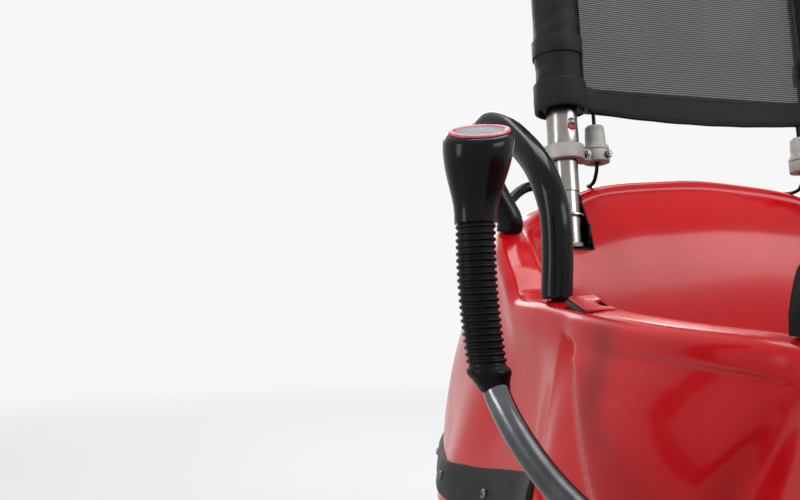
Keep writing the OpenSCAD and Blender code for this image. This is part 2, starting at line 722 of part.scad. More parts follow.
tow_hole_d = 20;
tow_hole_z = beam_z - 34;
module tow_lug() {
    top = beam_z + (beam_h - cross_h) / 2;
    y = beam_rear_y - 20;
    color("dimgray") translate([-7, y, 0]) difference() {
        union() {
            translate([0, -20, tow_hole_z]) cube([14, 40, top - tow_hole_z]);
            translate([0, 0, tow_hole_z]) rotate([0, 90, 0]) cylinder(d = 40, h = 14);
        }
        translate([-1, 0, tow_hole_z]) rotate([0, 90, 0]) cylinder(d = tow_hole_d, h = 16);
    }
}

// Brake levers: one shaft under the tub's nose carries both levers and both pad arms
shaft_end = 316;
module brake_shaft() {
    color("silver") translate([0, shaft_y, shaft_z]) rotate([0, 90, 0])
        cylinder(d = shaft_d, h = 2 * shaft_end, center = true);
}
arm_t = 10;
pad_h = 14;
module brake_arm() {
    pad_y = 34;
    pad_z = rail_z + rail_d / 2 + 2 - shaft_z;
    rotate([90, 0, 90]) linear_extrude(arm_t, center = true) difference() {
        union() {
            circle(d = shaft_d + 18);
            polygon([[-12, 8], [14, 10], [pad_y + 12, pad_z + pad_h + 10],
                [pad_y + 12, pad_z + pad_h], [pad_y - 14, pad_z + pad_h]]);
        }
        circle(d = shaft_d + bore_gap);
    }
    translate([-15, pad_y - 25, pad_z]) cube([30, 50, pad_h]);
}
module brake_arms() {
    color("dimgray") for (side = [-1, 1])
        translate([side * rail_x, shaft_y, shaft_z]) brake_arm();
}
grip_base = [461.5, -277.5, 417.5];
grip_lean = [-2.3, 1.7, 0];
lever_points = [[shaft_end + seat_gap, shaft_y, shaft_z], [325, shaft_y, shaft_z],
    [334, shaft_y, shaft_z], [354, -612, 232], [376, -590, 254], [398, -545, 286],
    [424, -470, 318], [438, -408, 340], [447, -353, 361], [455, -310, 383], [459.8, -288, 397],
    grip_base - 9 * [0.03, 0.04, 1], grip_base];
module lever_tubes() {
    color("silver") both_sides() swept_tube(route(lever_points, 3), lever_d, 14, [0, 0, 1]);
}
module grip_frame() {
    both_sides() translate(grip_base) rotate(grip_lean) children();
}
collar_h = 16;
rib_depth = 1.8;
grip_low = 6 * seat_gap;
module lever_grips() {
    r = grip_d / 2;
    ribs = [for (k = [0:rib_count - 1]) let (z = grip_low + collar_h + k * rib_pitch)
        each [[r - rib_depth, z + 0.4], [r, z + rib_pitch * 0.35], [r, z + rib_pitch * 0.75]]];
    color("black") grip_frame() rotate_extrude() polygon(concat(
        [[0, grip_low], [r - 4, grip_low], [r + 1.5, grip_low + 7], [r + 1.5, grip_low + 12],
            [r - 1, grip_low + collar_h]],
        ribs, [[r - rib_depth, grip_top], [0, grip_top]]));
}
grip_top = grip_low + collar_h + rib_count * rib_pitch;
module lever_knobs() {
    r = knob_top_d / 2;
    n = grip_d / 2 + 1;
    z = grip_top + seat_gap;
    color("black") grip_frame() rotate_extrude() polygon([[0, z], [n, z],
        [n, z + knob_h * 0.08], [mix(n, r, 0.1), z + knob_h * 0.2],
        [mix(n, r, 0.34), z + knob_h * 0.36], [mix(n, r, 0.66), z + knob_h * 0.54],
        [mix(n, r, 0.88), z + knob_h * 0.7], [r, z + knob_h * 0.86], [r, z + knob_h * 0.93],
        [r - 1.2, z + knob_h * 0.975], [r - 4, z + knob_h], [0, z + knob_h]]);
}
module knob_rings() {
    z = grip_top + 2 * seat_gap + knob_h;
    color("palevioletred") grip_frame() rotate_extrude() polygon([[0, z],
        [knob_top_d / 2 - 4, z], [knob_top_d / 2 - 4, z + 1], [knob_top_d / 2 - 5, z + 1.8],
        [knob_top_d / 2 - 7.5, z + 1.8], [knob_top_d / 2 - 8, z + 1], [0, z + 1]]);
}

chassis();
wheel_carriers();
guide_pins();
tub_shell();
base_skirt();
seat_plinth();
seat_pad();
front_bumper();
rear_bumper();
leg_guards();
loop_handles();
hose_guides();
latch_sockets();
latch_plates();
post_liners();
lower_posts();
upper_sleeves();
post_clamps();
cord_glands();
tether_cords();
hood_hoop();
hood_net();
hood_hem();
hood_patch();
hood_straps();
tow_lug();
brake_shaft();
brake_arms();
lever_tubes();
lever_grips();
lever_knobs();
knob_rings();
front_wheelset();
front_tyres();
rear_wheelset();
rear_tyres();
side_roller_1();
side_roller_2();
side_roller_3();
side_roller_4();
under_roller_1();
under_roller_2();
under_roller_3();
under_roller_4();
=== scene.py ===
"""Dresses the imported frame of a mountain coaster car: meshes, finishes, light and camera.

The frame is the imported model's, in metres: forward is -Y, up is +Z. Classes keep millimetres.
"""
import logging
import math
from contextlib import contextmanager
from dataclasses import dataclass
from enum import Enum
from typing import Any, Callable, Iterator, Mapping, Optional, Sequence, Union

import bmesh
import bpy
import numpy as np
from mathutils import Matrix, Vector


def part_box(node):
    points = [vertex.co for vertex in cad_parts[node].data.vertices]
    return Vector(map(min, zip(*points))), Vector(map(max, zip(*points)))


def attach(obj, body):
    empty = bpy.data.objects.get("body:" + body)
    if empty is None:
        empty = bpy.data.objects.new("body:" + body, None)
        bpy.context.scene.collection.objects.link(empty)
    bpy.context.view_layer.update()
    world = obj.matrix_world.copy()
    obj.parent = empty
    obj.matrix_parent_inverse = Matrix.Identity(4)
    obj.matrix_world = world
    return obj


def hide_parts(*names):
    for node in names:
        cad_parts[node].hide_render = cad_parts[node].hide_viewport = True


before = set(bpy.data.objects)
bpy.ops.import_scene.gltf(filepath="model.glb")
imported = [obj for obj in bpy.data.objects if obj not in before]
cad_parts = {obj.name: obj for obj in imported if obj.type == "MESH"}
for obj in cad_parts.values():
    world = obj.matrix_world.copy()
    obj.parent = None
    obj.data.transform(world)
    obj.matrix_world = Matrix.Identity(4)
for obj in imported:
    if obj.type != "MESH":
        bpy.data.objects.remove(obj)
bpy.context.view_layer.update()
LOG = logging.getLogger("coaster_car")
MM = 0.001
Point = Sequence[float]
Colour = tuple[float, float, float]


def srgb(code: str) -> Colour:
    """Turn a six-digit display colour into linear values.

    Args:
        code: The colour as rrggbb.

    Returns:
        Red, green and blue as linear values.
    """
    parts = [int(code[i:i + 2], 16) / 255 for i in (0, 2, 4)]
    return tuple(c / 12.92 if c <= 0.04045 else ((c + 0.055) / 1.055) ** 2.4 for c in parts)


# Shader maths


class Wire:
    """One output of a shader node; arithmetic on it adds Math nodes to its tree."""

    def __init__(self, net: "Net", socket: bpy.types.NodeSocket) -> None:
        """Keep the tree and the socket."""
        self.net = net
        self.socket = socket

    def maths(self, operation: str, *others: Any) -> "Wire":
        """Add a Math node.

        Args:
            operation: Blender's name of the operation.
            others: The operands after this one.

        Returns:
            The node's output.
        """
        values = dict(enumerate((self, *others)))
        return self.net.add("ShaderNodeMath", {"operation": operation}, values)

    def __add__(self, other: Any) -> "Wire":
        """Sum."""
        return self.maths("ADD", other)

    def __mul__(self, other: Any) -> "Wire":
        """Product."""
        return self.maths("MULTIPLY", other)

    def ramp(self, low: float, high: float) -> "Wire":
        """Map low..high to 0..1, smoothly and clamped.

        Args:
            low: The value that becomes 0.
            high: The value that becomes 1.

        Returns:
            The mapped value.
        """
        return self.net.add("ShaderNodeMapRange", {"interpolation_type": "SMOOTHSTEP"},
                            {0: self, 1: low, 2: high, 3: 0.0, 4: 1.0})


class Net:
    """A material or world under construction, with one method that adds any node."""

    def __init__(self, owner: Union[bpy.types.Material, bpy.types.World]) -> None:
        """Start an empty node tree in a material or a world."""
        owner.use_nodes = True
        self.owner = owner
        self.tree = owner.node_tree
        self.tree.nodes.clear()

    def add(self, kind: str, settings: Optional[Mapping[str, Any]] = None,
            sockets: Optional[Mapping[Union[int, str], Any]] = None, out: int = 0) -> Wire:
        """Add a node, set it up and feed its sockets.

        Args:
            kind: The node's type.
            settings: Properties set first.
            sockets: Values or wires by input number or name.
            out: The output to return.

        Returns:
            The chosen output.
        """
        node = self.tree.nodes.new(kind)
        for key, value in (settings or {}).items():
            setattr(node, key, value)
        for key, value in (sockets or {}).items():
            if isinstance(value, Wire):
                self.tree.links.new(value.socket, node.inputs[key])
            elif node.inputs[key].type == "RGBA":
                node.inputs[key].default_value = (*value, 1.0)
            else:
                node.inputs[key].default_value = value
        return Wire(self, node.outputs[out])

    def blend(self, first: Any, second: Any, factor: Any) -> Wire:
        """Mix two colours.

        Args:
            first: Colour or wire at factor 0.
            second: Colour or wire at factor 1.
            factor: Number or wire.

        Returns:
            The mixed colour.
        """
        return self.add("ShaderNodeMix", {"data_type": "RGBA"}, {0: factor, 6: first, 7: second}, 2)

    def place(self, scale: Point = (1, 1, 1), turn: Point = (0, 0, 0),
              uv: Optional[str] = None) -> Wire:
        """Coordinates for a pattern.

        Args:
            scale: Stretch along the three axes.
            turn: Turn about the three axes, in radians.
            uv: A UV map to read, or None for object coordinates.

        Returns:
            The mapped coordinates.
        """
        if uv:
            source = self.add("ShaderNodeUVMap", {"uv_map": uv})
        else:
            source = self.add("ShaderNodeTexCoord", out=3)
        return self.add("ShaderNodeMapping", {}, {0: source, 2: tuple(turn), 3: tuple(scale)})

    def noise(self, scale: float, detail: float = 3.0, rough: float = 0.55,
              where: Optional[Wire] = None) -> Wire:
        """A noise value about 0.5.

        Args:
            scale: Features per metre.
            detail: Octaves.
            rough: Weight of the finer octaves.
            where: Coordinates, or None for object coordinates.

        Returns:
            The noise value.
        """
        return self.add("ShaderNodeTexNoise", {},
                        {0: where or self.place(), 2: scale, 3: detail, 4: rough})

    def bump(self, height: Wire, strength: float, distance: float) -> Wire:
        """The normal of a height, at a strength of 0 to 1 and a depth in metres."""
        sockets = {"Strength": strength, "Distance": distance, "Height": height}
        return self.add("ShaderNodeBump", {}, sockets)

    def end(self, shader: Wire, output: str = "ShaderNodeOutputMaterial") -> Any:
        """Send a shader out, and hand back the material or world."""
        self.tree.links.new(shader.socket, self.tree.nodes.new(output).inputs[0])
        return self.owner

    def close(self, **sockets: Any) -> bpy.types.Material:
        """End the tree in a Principled shader.

        Args:
            sockets: Its inputs, with underscores for spaces.

        Returns:
            The finished material.
        """
        named = {key.replace("_", " "): value for key, value in sockets.items()}
        return self.end(self.add("ShaderNodeBsdfPrincipled", {}, named))


# Finishes


class Grain(Enum):
    """Kinds of fine surface relief."""

    NONE = "none"
    LEATHER = "leather"
    CAST = "cast"
    BRUSHED = "brushed"
    CLOTH = "cloth"


@dataclass(frozen=True)
class Finish:
    """A hard or coated finish with colour drift, scuffs, dirt and fine relief.

    The record's slot is kept with it, so a piece gets both from one value. Colours are rrggbb.
    """

    slot: str
    base: str
    drift: str
    rough: float
    rough_span: float = 0.1
    metal: float = 0.0
    coat: float = 0.0
    coat_rough: float = 0.1
    scuff: float = 0.0
    scuff_tint: str = "77726c"
    dirt: float = 0.0
    dirt_tint: Colour = (0.09, 0.075, 0.06)
    grain: Grain = Grain.NONE
    relief: float = 0.2
    drift_scale: float = 9.0
    along: Point = (1.0, 1.0, 1.0)
    specular: float = 0.5

    def grain_height(self, net: Net) -> Wire:
        """Height of the fine relief.

        Args:
            net: The material under construction.

        Returns:
            The height value.
        """
        if self.grain is Grain.LEATHER:
            cells = net.add("ShaderNodeTexVoronoi", {"feature": "SMOOTH_F1"},
                            {0: net.place(), 2: 900.0})
            return cells * 0.7 + net.noise(2400.0, 2.0) * 0.3
        if self.grain is Grain.CAST:
            return net.noise(700.0, 4.0, 0.7) + net.noise(90.0, 2.0) * 0.5
        if self.grain is Grain.BRUSHED:
            return net.noise(60.0, 4.0, 0.75, net.place(self.along))
        if self.grain is Grain.CLOTH:
            warp, weft = (net.add("ShaderNodeTexWave", {"bands_direction": way},
                                  {0: net.place(), 1: 330.0, 2: 0.6, 4: 2.0}, 1) for way in "ZX")
            return warp + weft
        return net.noise(45.0, 2.0)

    def material(self) -> bpy.types.Material:
        """Build the material.

        Returns:
            The finished material.
        """
        net = Net(bpy.data.materials.new(self.slot))
        drift = net.noise(self.drift_scale, 4.0, 0.6).ramp(0.35, 0.68)
        colour = net.blend(srgb(self.base), srgb(self.drift), drift)
        rough = drift * self.rough_span + self.rough
        if self.scuff > 0:
            fine = net.noise(38.0, 5.0, 0.7, net.place((1.0, 1.0, 3.2), (0.3, 0.2, 0.5)))
            hair = net.noise(300.0, 2.0, 0.7, net.place((1.0, 0.07, 0.3), (0.1, 0.5, 0.9)))
            worn = net.noise(5.0, 3.0, 0.6).ramp(0.48, 0.75)
            marks = (hair.ramp(0.58, 0.74) * worn * 0.6 + fine.ramp(0.6, 0.8) * worn) * self.scuff
            colour = net.blend(colour, srgb(self.scuff_tint), marks * 0.55)
            rough = rough + marks * 0.35
        if self.dirt > 0:
            normal = net.add("ShaderNodeNewGeometry", out=1)
            up = net.add("ShaderNodeSeparateXYZ", {}, {0: normal}, 2)
            lie = up.ramp(-0.2, 0.95) * net.noise(22.0, 5.0, 0.65).ramp(0.42, 0.72) * self.dirt
            colour = net.blend(colour, self.dirt_tint, lie)
            rough = rough + lie * 0.4
        normal = net.bump(self.grain_height(net), self.relief, 0.0004)
        shader: dict[str, Any] = {
            "Base_Color": colour, "Roughness": rough.maths("MINIMUM", 1.0), "Normal": normal,
            "Metallic": self.metal, "Specular_IOR_Level": self.specular}
        if self.coat > 0:
            shader.update(Coat_Weight=self.coat, Coat_Roughness=self.coat_rough)
        return net.close(**shader)


@dataclass(frozen=True)
class Weave:
    """Open woven mesh: thick threads across and thin ones up, with see-through holes."""

    slot: str
    thread: str
    drift: str
    across: float = 0.0031
    up: float = 0.0016
    cover: float = 0.76

    def material(self) -> bpy.types.Material:
        """Build the material.

        Returns:
            The finished material, see-through between its threads.
        """
        net = Net(bpy.data.materials.new(self.slot))
        flat = net.place(uv="flat")
        x, y = (net.add("ShaderNodeSeparateXYZ", {}, {0: flat}, axis) for axis in (0, 1))
        drift = net.noise(7.0, 3.0).ramp(0.3, 0.7)
        warp = (x * (2 * math.pi / self.up)).maths("SINE") * 0.5 + 0.5
        weft = (y * (2 * math.pi / self.across)).maths("SINE") * 0.5 + 0.5
        cover = (weft.ramp(0.30, 0.62) * 0.95).maths("MAXIMUM", warp.ramp(0.62, 0.86) * 0.8)
        alpha = (cover * (1 - self.cover) + self.cover + drift * 0.03).maths("MINIMUM", 1.0)
        colour = net.blend(srgb(self.thread), srgb(self.drift), drift)
        height = weft + warp * 0.5
        return net.close(Base_Color=colour, Roughness=0.62, Alpha=alpha,
                         Normal=net.bump(height, 0.6, 0.0005), Specular_IOR_Level=0.4)


FINISHES: dict[str, Any] = {f.slot: f for f in (
    Finish("frame_paint", "2e3134", "232528", 0.42, 0.15, coat=0.1, scuff=0.8, dirt=0.5,
           grain=Grain.CAST, relief=0.15, specular=0.2),
    Finish("bright_steel", "8e8c88", "62605c", 0.2, 0.2, 1.0, scuff=0.5, scuff_tint="57504a",
           grain=Grain.BRUSHED, relief=0.35, along=(1, 1, 0.06)),
    # painted shade: the lever tubes' steel is a darker copy of bright_steel, standing in for the
    # dark surroundings that it reflects
    Finish("lever_steel", "5f6163", "3f4143", 0.2, 0.16, 1.0, scuff=0.6, scuff_tint="8d8f90",
           grain=Grain.BRUSHED, relief=0.3, along=(1, 1, 0.2)),
    Finish("chrome_sleeve", "a9a6a0", "878480", 0.17, 0.14, 1.0, scuff=0.35, scuff_tint="6d6761",
           grain=Grain.BRUSHED, relief=0.2, along=(1, 1, 0.1)),
    Finish("tub_plastic", "c90a15", "b8060f", 0.2, coat=0.2, scuff=0.16, scuff_tint="e08a92",
           dirt=0.03, relief=0.08, drift_scale=4.0, specular=0.13),
    Finish("skirt_plastic", "0d0e0f", "17181a", 0.36, 0.15, scuff=0.4, scuff_tint="5f5f62",
           dirt=0.15, grain=Grain.CAST, relief=0.12, specular=0.1),
    Finish("pad_vinyl", "85888a", "74777a", 0.52, scuff=0.25, scuff_tint="a1a3a4", dirt=0.12,
           grain=Grain.LEATHER, relief=0.4, specular=0.4),
    Finish("bumper_rubber", "121314", "1d1e20", 0.54, 0.16, scuff=0.6, scuff_tint="5a5a5d",
           dirt=0.15, grain=Grain.CAST, relief=0.3, specular=0.12),
    Finish("guard_plastic", "0b0c0d", "131416", 0.3, 0.14, coat=0.04, scuff=0.35,
           scuff_tint="66666a", grain=Grain.CAST, relief=0.1, specular=0.1),
    Finish("loop_plastic", "070809", "0d0f11", 0.17, coat=0.1, coat_rough=0.08, scuff=0.3,
           scuff_tint="6d7074", relief=0.08, specular=0.1),
    Finish("latch_red", "c8141f", "a80e18", 0.32, 0.12, coat=0.2, scuff=0.3, scuff_tint="dc8f94",
           relief=0.1, specular=0.3),
    Finish("clamp_casting", "b9b9b5", "9a9a96", 0.5, 0.16, 0.3, scuff=0.4, scuff_tint="78746e",
           dirt=0.25, grain=Grain.CAST, relief=0.55),
    Finish("cord_sheath", "0c0c0e", "161618", 0.5, specular=0.15),
    Finish("hood_sleeve", "0e1013", "16181d", 0.46, 0.14, scuff=0.4, scuff_tint="484c54",
           dirt=0.08, grain=Grain.CLOTH, relief=0.35, specular=0.2),
    Weave("hood_mesh", "141519", "24272e"),
    Finish("grip_rubber", "09090a", "111113", 0.34, 0.14, scuff=0.35, scuff_tint="48484c",
           dirt=0.05, grain=Grain.CAST, relief=0.12, specular=0.1),
    Finish("knob_plastic", "070708", "0d0a0b", 0.16, coat=0.1, coat_rough=0.08, scuff=0.25,
           scuff_tint="5d5d61", relief=0.05, specular=0.09),
    Finish("ring_pink", "cf5866", "b9485a", 0.36, 0.12, coat=0.15, scuff=0.5, scuff_tint="dfa6ae",
           relief=0.1, specular=0.35),
    Finish("wheel_alloy", "a9aaab", "88898c", 0.36, 0.15, 0.9, scuff=0.4, scuff_tint="65625e",
           dirt=0.3, grain=Grain.CAST),
    Finish("wheel_tread", "a8763a", "8a5c2b", 0.42, 0.15, scuff=0.5, scuff_tint="4c3a26", dirt=0.3,
           relief=0.15),
    Finish("roller_tread", "b9832f", "9a6a26", 0.4, 0.15, scuff=0.4, scuff_tint="4c3a26", dirt=0.3,
           relief=0.15),
)}


class Paintbox:
    """Builds each finish once and hands it out by its slot."""

    def __init__(self) -> None:
        """Start with nothing mixed."""
        self.made: dict[str, bpy.types.Material] = {}

    def get(self, slot: str) -> bpy.types.Material:
        """The material of a slot."""
        if slot not in self.made:
            self.made[slot] = FINISHES[slot].material()
        return self.made[slot]


PAINT = Paintbox()


# Meshes


@contextmanager
def edited(source: bpy.types.Mesh,
           target: Optional[bpy.types.Mesh] = None) -> Iterator[bmesh.types.BMesh]:
    """Open a mesh for editing, and write it back or into another mesh."""
    shape = bmesh.new()
    shape.from_mesh(source)
    yield shape
    shape.to_mesh(target or source)
    shape.free()


def move(x: float, y: float, z: float) -> Matrix:
    """A move, in millimetres."""
    return Matrix.Translation(Vector((x, y, z)) * MM)


def spin(angle: float, axis: str) -> Matrix:
    """A turn about an axis, in radians."""
    return Matrix.Rotation(angle, 4, axis)


class Maker:
    """Builds plain meshes from points, in metres."""

    @staticmethod
    def placed(name: str, data: bpy.types.ID) -> bpy.types.Object:
        """Link a new object to the scene.

        Args:
            name: Name of the object.
            data: Its mesh, lamp or camera.

        Returns:
            The object.
        """
        thing = bpy.data.objects.new(name, data)
        bpy.context.scene.collection.objects.link(thing)
        return thing

    @staticmethod
    def mesh(name: str, points: Sequence[Point],
             faces: Sequence[Sequence[int]]) -> bpy.types.Object:
        """Make an object from points and faces.

        Args:
            name: Name of the piece.
            points: Its points.
            faces: Its faces, as point numbers.

        Returns:
            The new object, linked to the scene.
        """
        data = bpy.data.meshes.new(name)
        data.from_pydata([tuple(p) for p in points], [], [tuple(f) for f in faces])
        data.validate()
        return Maker.placed(name, data)

    @staticmethod
    def loft(name: str, rings: Sequence[Sequence[Point]],
             along: bool = False) -> bpy.types.Object:
        """Join rings of points by quads.

        Args:
            name: Name of the piece.
            rings: Rings with equal numbers of points.
            along: Whether the last ring joins the first; if not, fans close both ends.

        Returns:
            The new object, its faces pointing outwards.
        """
        n, m = len(rings), len(rings[0])
        points = [p for ring in rings for p in ring]
        faces = [(j * m + i, j * m + k, (j + 1) % n * m + k, (j + 1) % n * m + i)
                 for j in range(n if along else n - 1) for i in range(m) for k in ((i + 1) % m,)]
        if not along:
            for ring, turn in ((0, -1), (n - 1, 1)):
                centre = sum((Vector(p) for p in rings[ring]), Vector()) / m
                points.append(centre)
                for i in range(m):
                    edge = (ring * m + i, ring * m + (i + 1) % m)
                    faces.append((*edge[::turn], len(points) - 1))
        piece = Maker.mesh(name, points, faces)
        Maker.outward(piece)
        return piece

    @staticmethod
    def outward(piece: bpy.types.Object) -> None:
        """Merge doubles and turn the faces outwards."""
        with edited(piece.data) as shape:
            bmesh.ops.remove_doubles(shape, verts=shape.verts, dist=1e-6)
            bmesh.ops.recalc_face_normals(shape, faces=shape.faces)

    @staticmethod
    def tube(name: str, path: Sequence[Point], radius: Union[float, Sequence[float]],
             sides: int, dome: float = 0.0) -> bpy.types.Object:
        """Sweep a circle along a path.

        Args:
            name: Name of the piece.
            path: Points of the centre line.
            radius: One radius, or one for each point.
            sides: Points round the circle.
            dome: Radius of the rounding at both ends, or 0 for flat ends.

        Returns:
            The new object.
        """
        line = [Vector(p) for p in path]
        radii = [radius] * len(line) if isinstance(radius, (int, float)) else list(radius)
        if dome > 0:
            for end, other in ((0, 1), (-1, -2)):
                way = (line[end] - line[other]).normalized()
                tip, wide = line[end], radii[end]
                ring = [(tip - way * dome * (1 - math.sin(a)), wide - dome * (1 - math.cos(a)))
                        for a in (0.0, 0.4, 0.8, 1.2, math.pi / 2)]
                if end == 0:
                    line[0:1] = [p for p, _ in reversed(ring)]
                    radii[0:1] = [r for _, r in reversed(ring)]
                else:
                    line[-1:] = [p for p, _ in ring]
                    radii[-1:] = [r for _, r in ring]
        ways = [(line[min(i + 1, len(line) - 1)] - line[max(i - 1, 0)]).normalized()
                for i in range(len(line))]
        side = ways[0].orthogonal().normalized()
        rings = []
        for place, way, wide in zip(line, ways, radii):
            side = (side - way * side.dot(way)).normalized()
            up = way.cross(side)
            rings.append([place + (side * math.cos(k * math.tau / sides)
                                   + up * math.sin(k * math.tau / sides)) * wide
                          for k in range(sides)])
        return Maker.loft(name, rings)

    @staticmethod
    def turned(name: str, profile: Sequence[Point], where: Matrix = Matrix(),
               sides: int = 48) -> bpy.types.Object:
        """Turn a profile about Z.

        Args:
            name: Name of the piece.
            profile: Radius and height of each point, in millimetres; a radius of 0 closes a pole.
            where: Place of the piece.
            sides: Points round the circle.

        Returns:
            The new object.
        """
        rings = [[where @ Vector((r * MM * math.cos(k * math.tau / sides),
                                  r * MM * math.sin(k * math.tau / sides), z * MM))
                  for k in range(sides)] for r, z in profile]
        closed = profile[0] == profile[-1]
        if closed:
            rings = rings[:-1]
        return Maker.loft(name, rings, along=closed)

    @staticmethod
    def block(name: str, low: Point, high: Point, where: Matrix = Matrix(),
              round_off: float = 0.0) -> bpy.types.Object:
        """A block with rounded edges.

        Args:
            name: Name of the piece.
            low: Lowest corner, in millimetres.
            high: Highest corner, in millimetres.
            where: Place of the piece.
            round_off: Radius of its edges, in millimetres.

        Returns:
            The new object.
        """
        (left, front, bottom), (right, back, top) = low, high
        outline = [(left, front), (right, front), (right, back), (left, back)]
        return Maker.prism(name, outline, bottom, top, where, round_off)

    @staticmethod
    def prism(name: str, outline: Sequence[Point], low: float, high: float,
              where: Matrix = Matrix(), round_off: float = 0.0) -> bpy.types.Object:
        """A flat outline given a thickness.

        Args:
            name: Name of the piece.
            outline: Points of the outline, in millimetres.
            low: Height of its underside, in millimetres.
            high: Height of its top, in millimetres.
            where: Place of the piece.
            round_off: Radius of its edges, in millimetres.

        Returns:
            The new object.
        """
        n = len(outline)
        points = [where @ Vector((x * MM, y * MM, z * MM)) for z in (low, high) for x, y in outline]
        faces = [tuple(range(n)), tuple(range(2 * n - 1, n - 1, -1))]
        faces += [(i, i + n, (i + 1) % n + n, (i + 1) % n) for i in range(n)]
        piece = Maker.mesh(name, points, faces)
        Maker.outward(piece)
        if round_off:
            Shape(piece).bevel(round_off * MM, 3).bake()
        return piece

    @staticmethod
    def mirrored(piece: bpy.types.Object) -> bpy.types.Object:
        """Add the other side's copy to a piece, across the centre plane.

        Args:
            piece: A piece on one side.

        Returns:
            The same object, now with both sides.
        """
        with edited(piece.data) as shape:
            whole = shape.verts[:] + shape.edges[:] + shape.faces[:]
            other = bmesh.ops.duplicate(shape, geom=whole)["geom"]
            for vert in (v for v in other if isinstance(v, bmesh.types.BMVert)):
                vert.co.x = -vert.co.x
            sides = [f for f in other if isinstance(f, bmesh.types.BMFace)]
            bmesh.ops.reverse_faces(shape, faces=sides)
        return piece

    @staticmethod
    def joined(name: str, parts: Sequence[bpy.types.Object]) -> bpy.types.Object:
        """Join pieces into one object.

        Args:
            name: Name of the joined piece.
            parts: The pieces, which are used up.

        Returns:
            The joined object.
        """
        shape = bmesh.new()
        for part in parts:
            shape.from_mesh(part.data)
        data = bpy.data.meshes.new(name)
        shape.to_mesh(data)
        shape.free()
        for part in parts:
            bpy.data.objects.remove(part)
        return Maker.placed(name, data)

    @staticmethod
    def pushed(piece: bpy.types.Object, place: Matrix,
               push: Callable[[Vector], Vector]) -> bpy.types.Object:
        """Move a piece's points, as seen in a frame of its own.

        Args:
            piece: The piece.
            place: The frame.
            push: The move of a point, both in that frame and in millimetres.

        Returns:
            The same piece.
        """
        back, turn = place.inverted(), place.to_3x3()
        for vert in piece.data.vertices:
            vert.co += turn @ push(back @ vert.co / MM) * MM
        return piece

    @staticmethod
    def even(half: list[Point]) -> list[Point]:
        """A closed profile from the half of it that lies below height 0."""
        return half + [(r, -z) for r, z in reversed(half)] + half[:1]


class Shape:
    """Modifiers on one piece, baked into its mesh at the end."""

    def __init__(self, piece: bpy.types.Object) -> None:
        """Keep the piece."""
        self.piece = piece

    def add(self, kind: str, **settings: Any) -> "Shape":
        """Add a modifier.

        Args:
            kind: Its type.
            settings: Its properties.

        Returns:
            This shape, so calls can follow each other.
        """
        modifier = self.piece.modifiers.new(kind.title(), kind)
        for key, value in settings.items():
            setattr(modifier, key, value)
        return self

    def bevel(self, width: float, segments: int = 2, angle: float = 35.0) -> "Shape":
        """Round the edges that turn by more than an angle in degrees."""
        return self.add("BEVEL", width=width, segments=segments, limit_method="ANGLE",
                        angle_limit=math.radians(angle))

    def subdivide(self, levels: int) -> "Shape":
        """Add a subdivision surface."""
        return self.add("SUBSURF", levels=levels, render_levels=levels)

    def cut(self, cutter: bpy.types.Object) -> None:
        """Take a closed piece away from this one, then drop it."""
        self.add("BOOLEAN", operation="DIFFERENCE", solver="EXACT", object=cutter).bake()
        bpy.data.objects.remove(cutter)

    def bake(self) -> bpy.types.Object:
        """Write the modifiers into the mesh.

        Returns:
            The piece, without modifiers.
        """
        graph = bpy.context.evaluated_depsgraph_get()
        made = bpy.data.meshes.new_from_object(self.piece.evaluated_get(graph))
        self.piece.modifiers.clear()
        self.piece.data = made
        return self.piece


class Dresser:
    """Gives pieces their finish, shading, body and slot, and reports them."""

    @staticmethod
    def finish(piece: bpy.types.Object, slot: str, body: str = "root",
               replaces: str = "", sharp: float = 40.0, look: str = "") -> None:
        """Finish a new piece.

        Args:
            piece: The piece.
            slot: The slot whose finish it gets.
            body: The body that it rides on.
            replaces: The node that it stands for.
            sharp: Angle in degrees past which an edge stays sharp.
            look: Name of another finish to wear under the same slot.
        """
        piece.data.materials.clear()
        piece.data.materials.append(PAINT.get(look or slot))
        piece.data.polygons.foreach_set("use_smooth", [True] * len(piece.data.polygons))
        piece.data.set_sharp_from_angle(angle=math.radians(sharp))
        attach(piece, body)
        if replaces:
            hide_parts(replaces)
        LOG.info("%s: %d faces, %s on %s", piece.name, len(piece.data.polygons), slot, body)

    @staticmethod
    def softened(node: str, slot: str, body: str = "root", width: float = 1.2) -> None:
        """Stand a copy of a node with rounded edges in for it.

        Args:
            node: The node to copy.
            slot: The slot whose finish it gets.
            body: The body that it rides on.
            width: Radius of the edges, in millimetres.
        """
        data = bpy.data.meshes.new(node + "_dressed")
        with edited(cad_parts[node].data, data) as shape:
            bmesh.ops.remove_doubles(shape, verts=shape.verts, dist=2e-6)
            bmesh.ops.dissolve_limit(shape, angle_limit=math.radians(0.6), verts=shape.verts,
                                     edges=shape.edges)
        piece = Maker.placed(data.name, data)
        Shape(piece).bevel(width * MM, angle=38).bake()
        Dresser.finish(piece, slot, body, node)


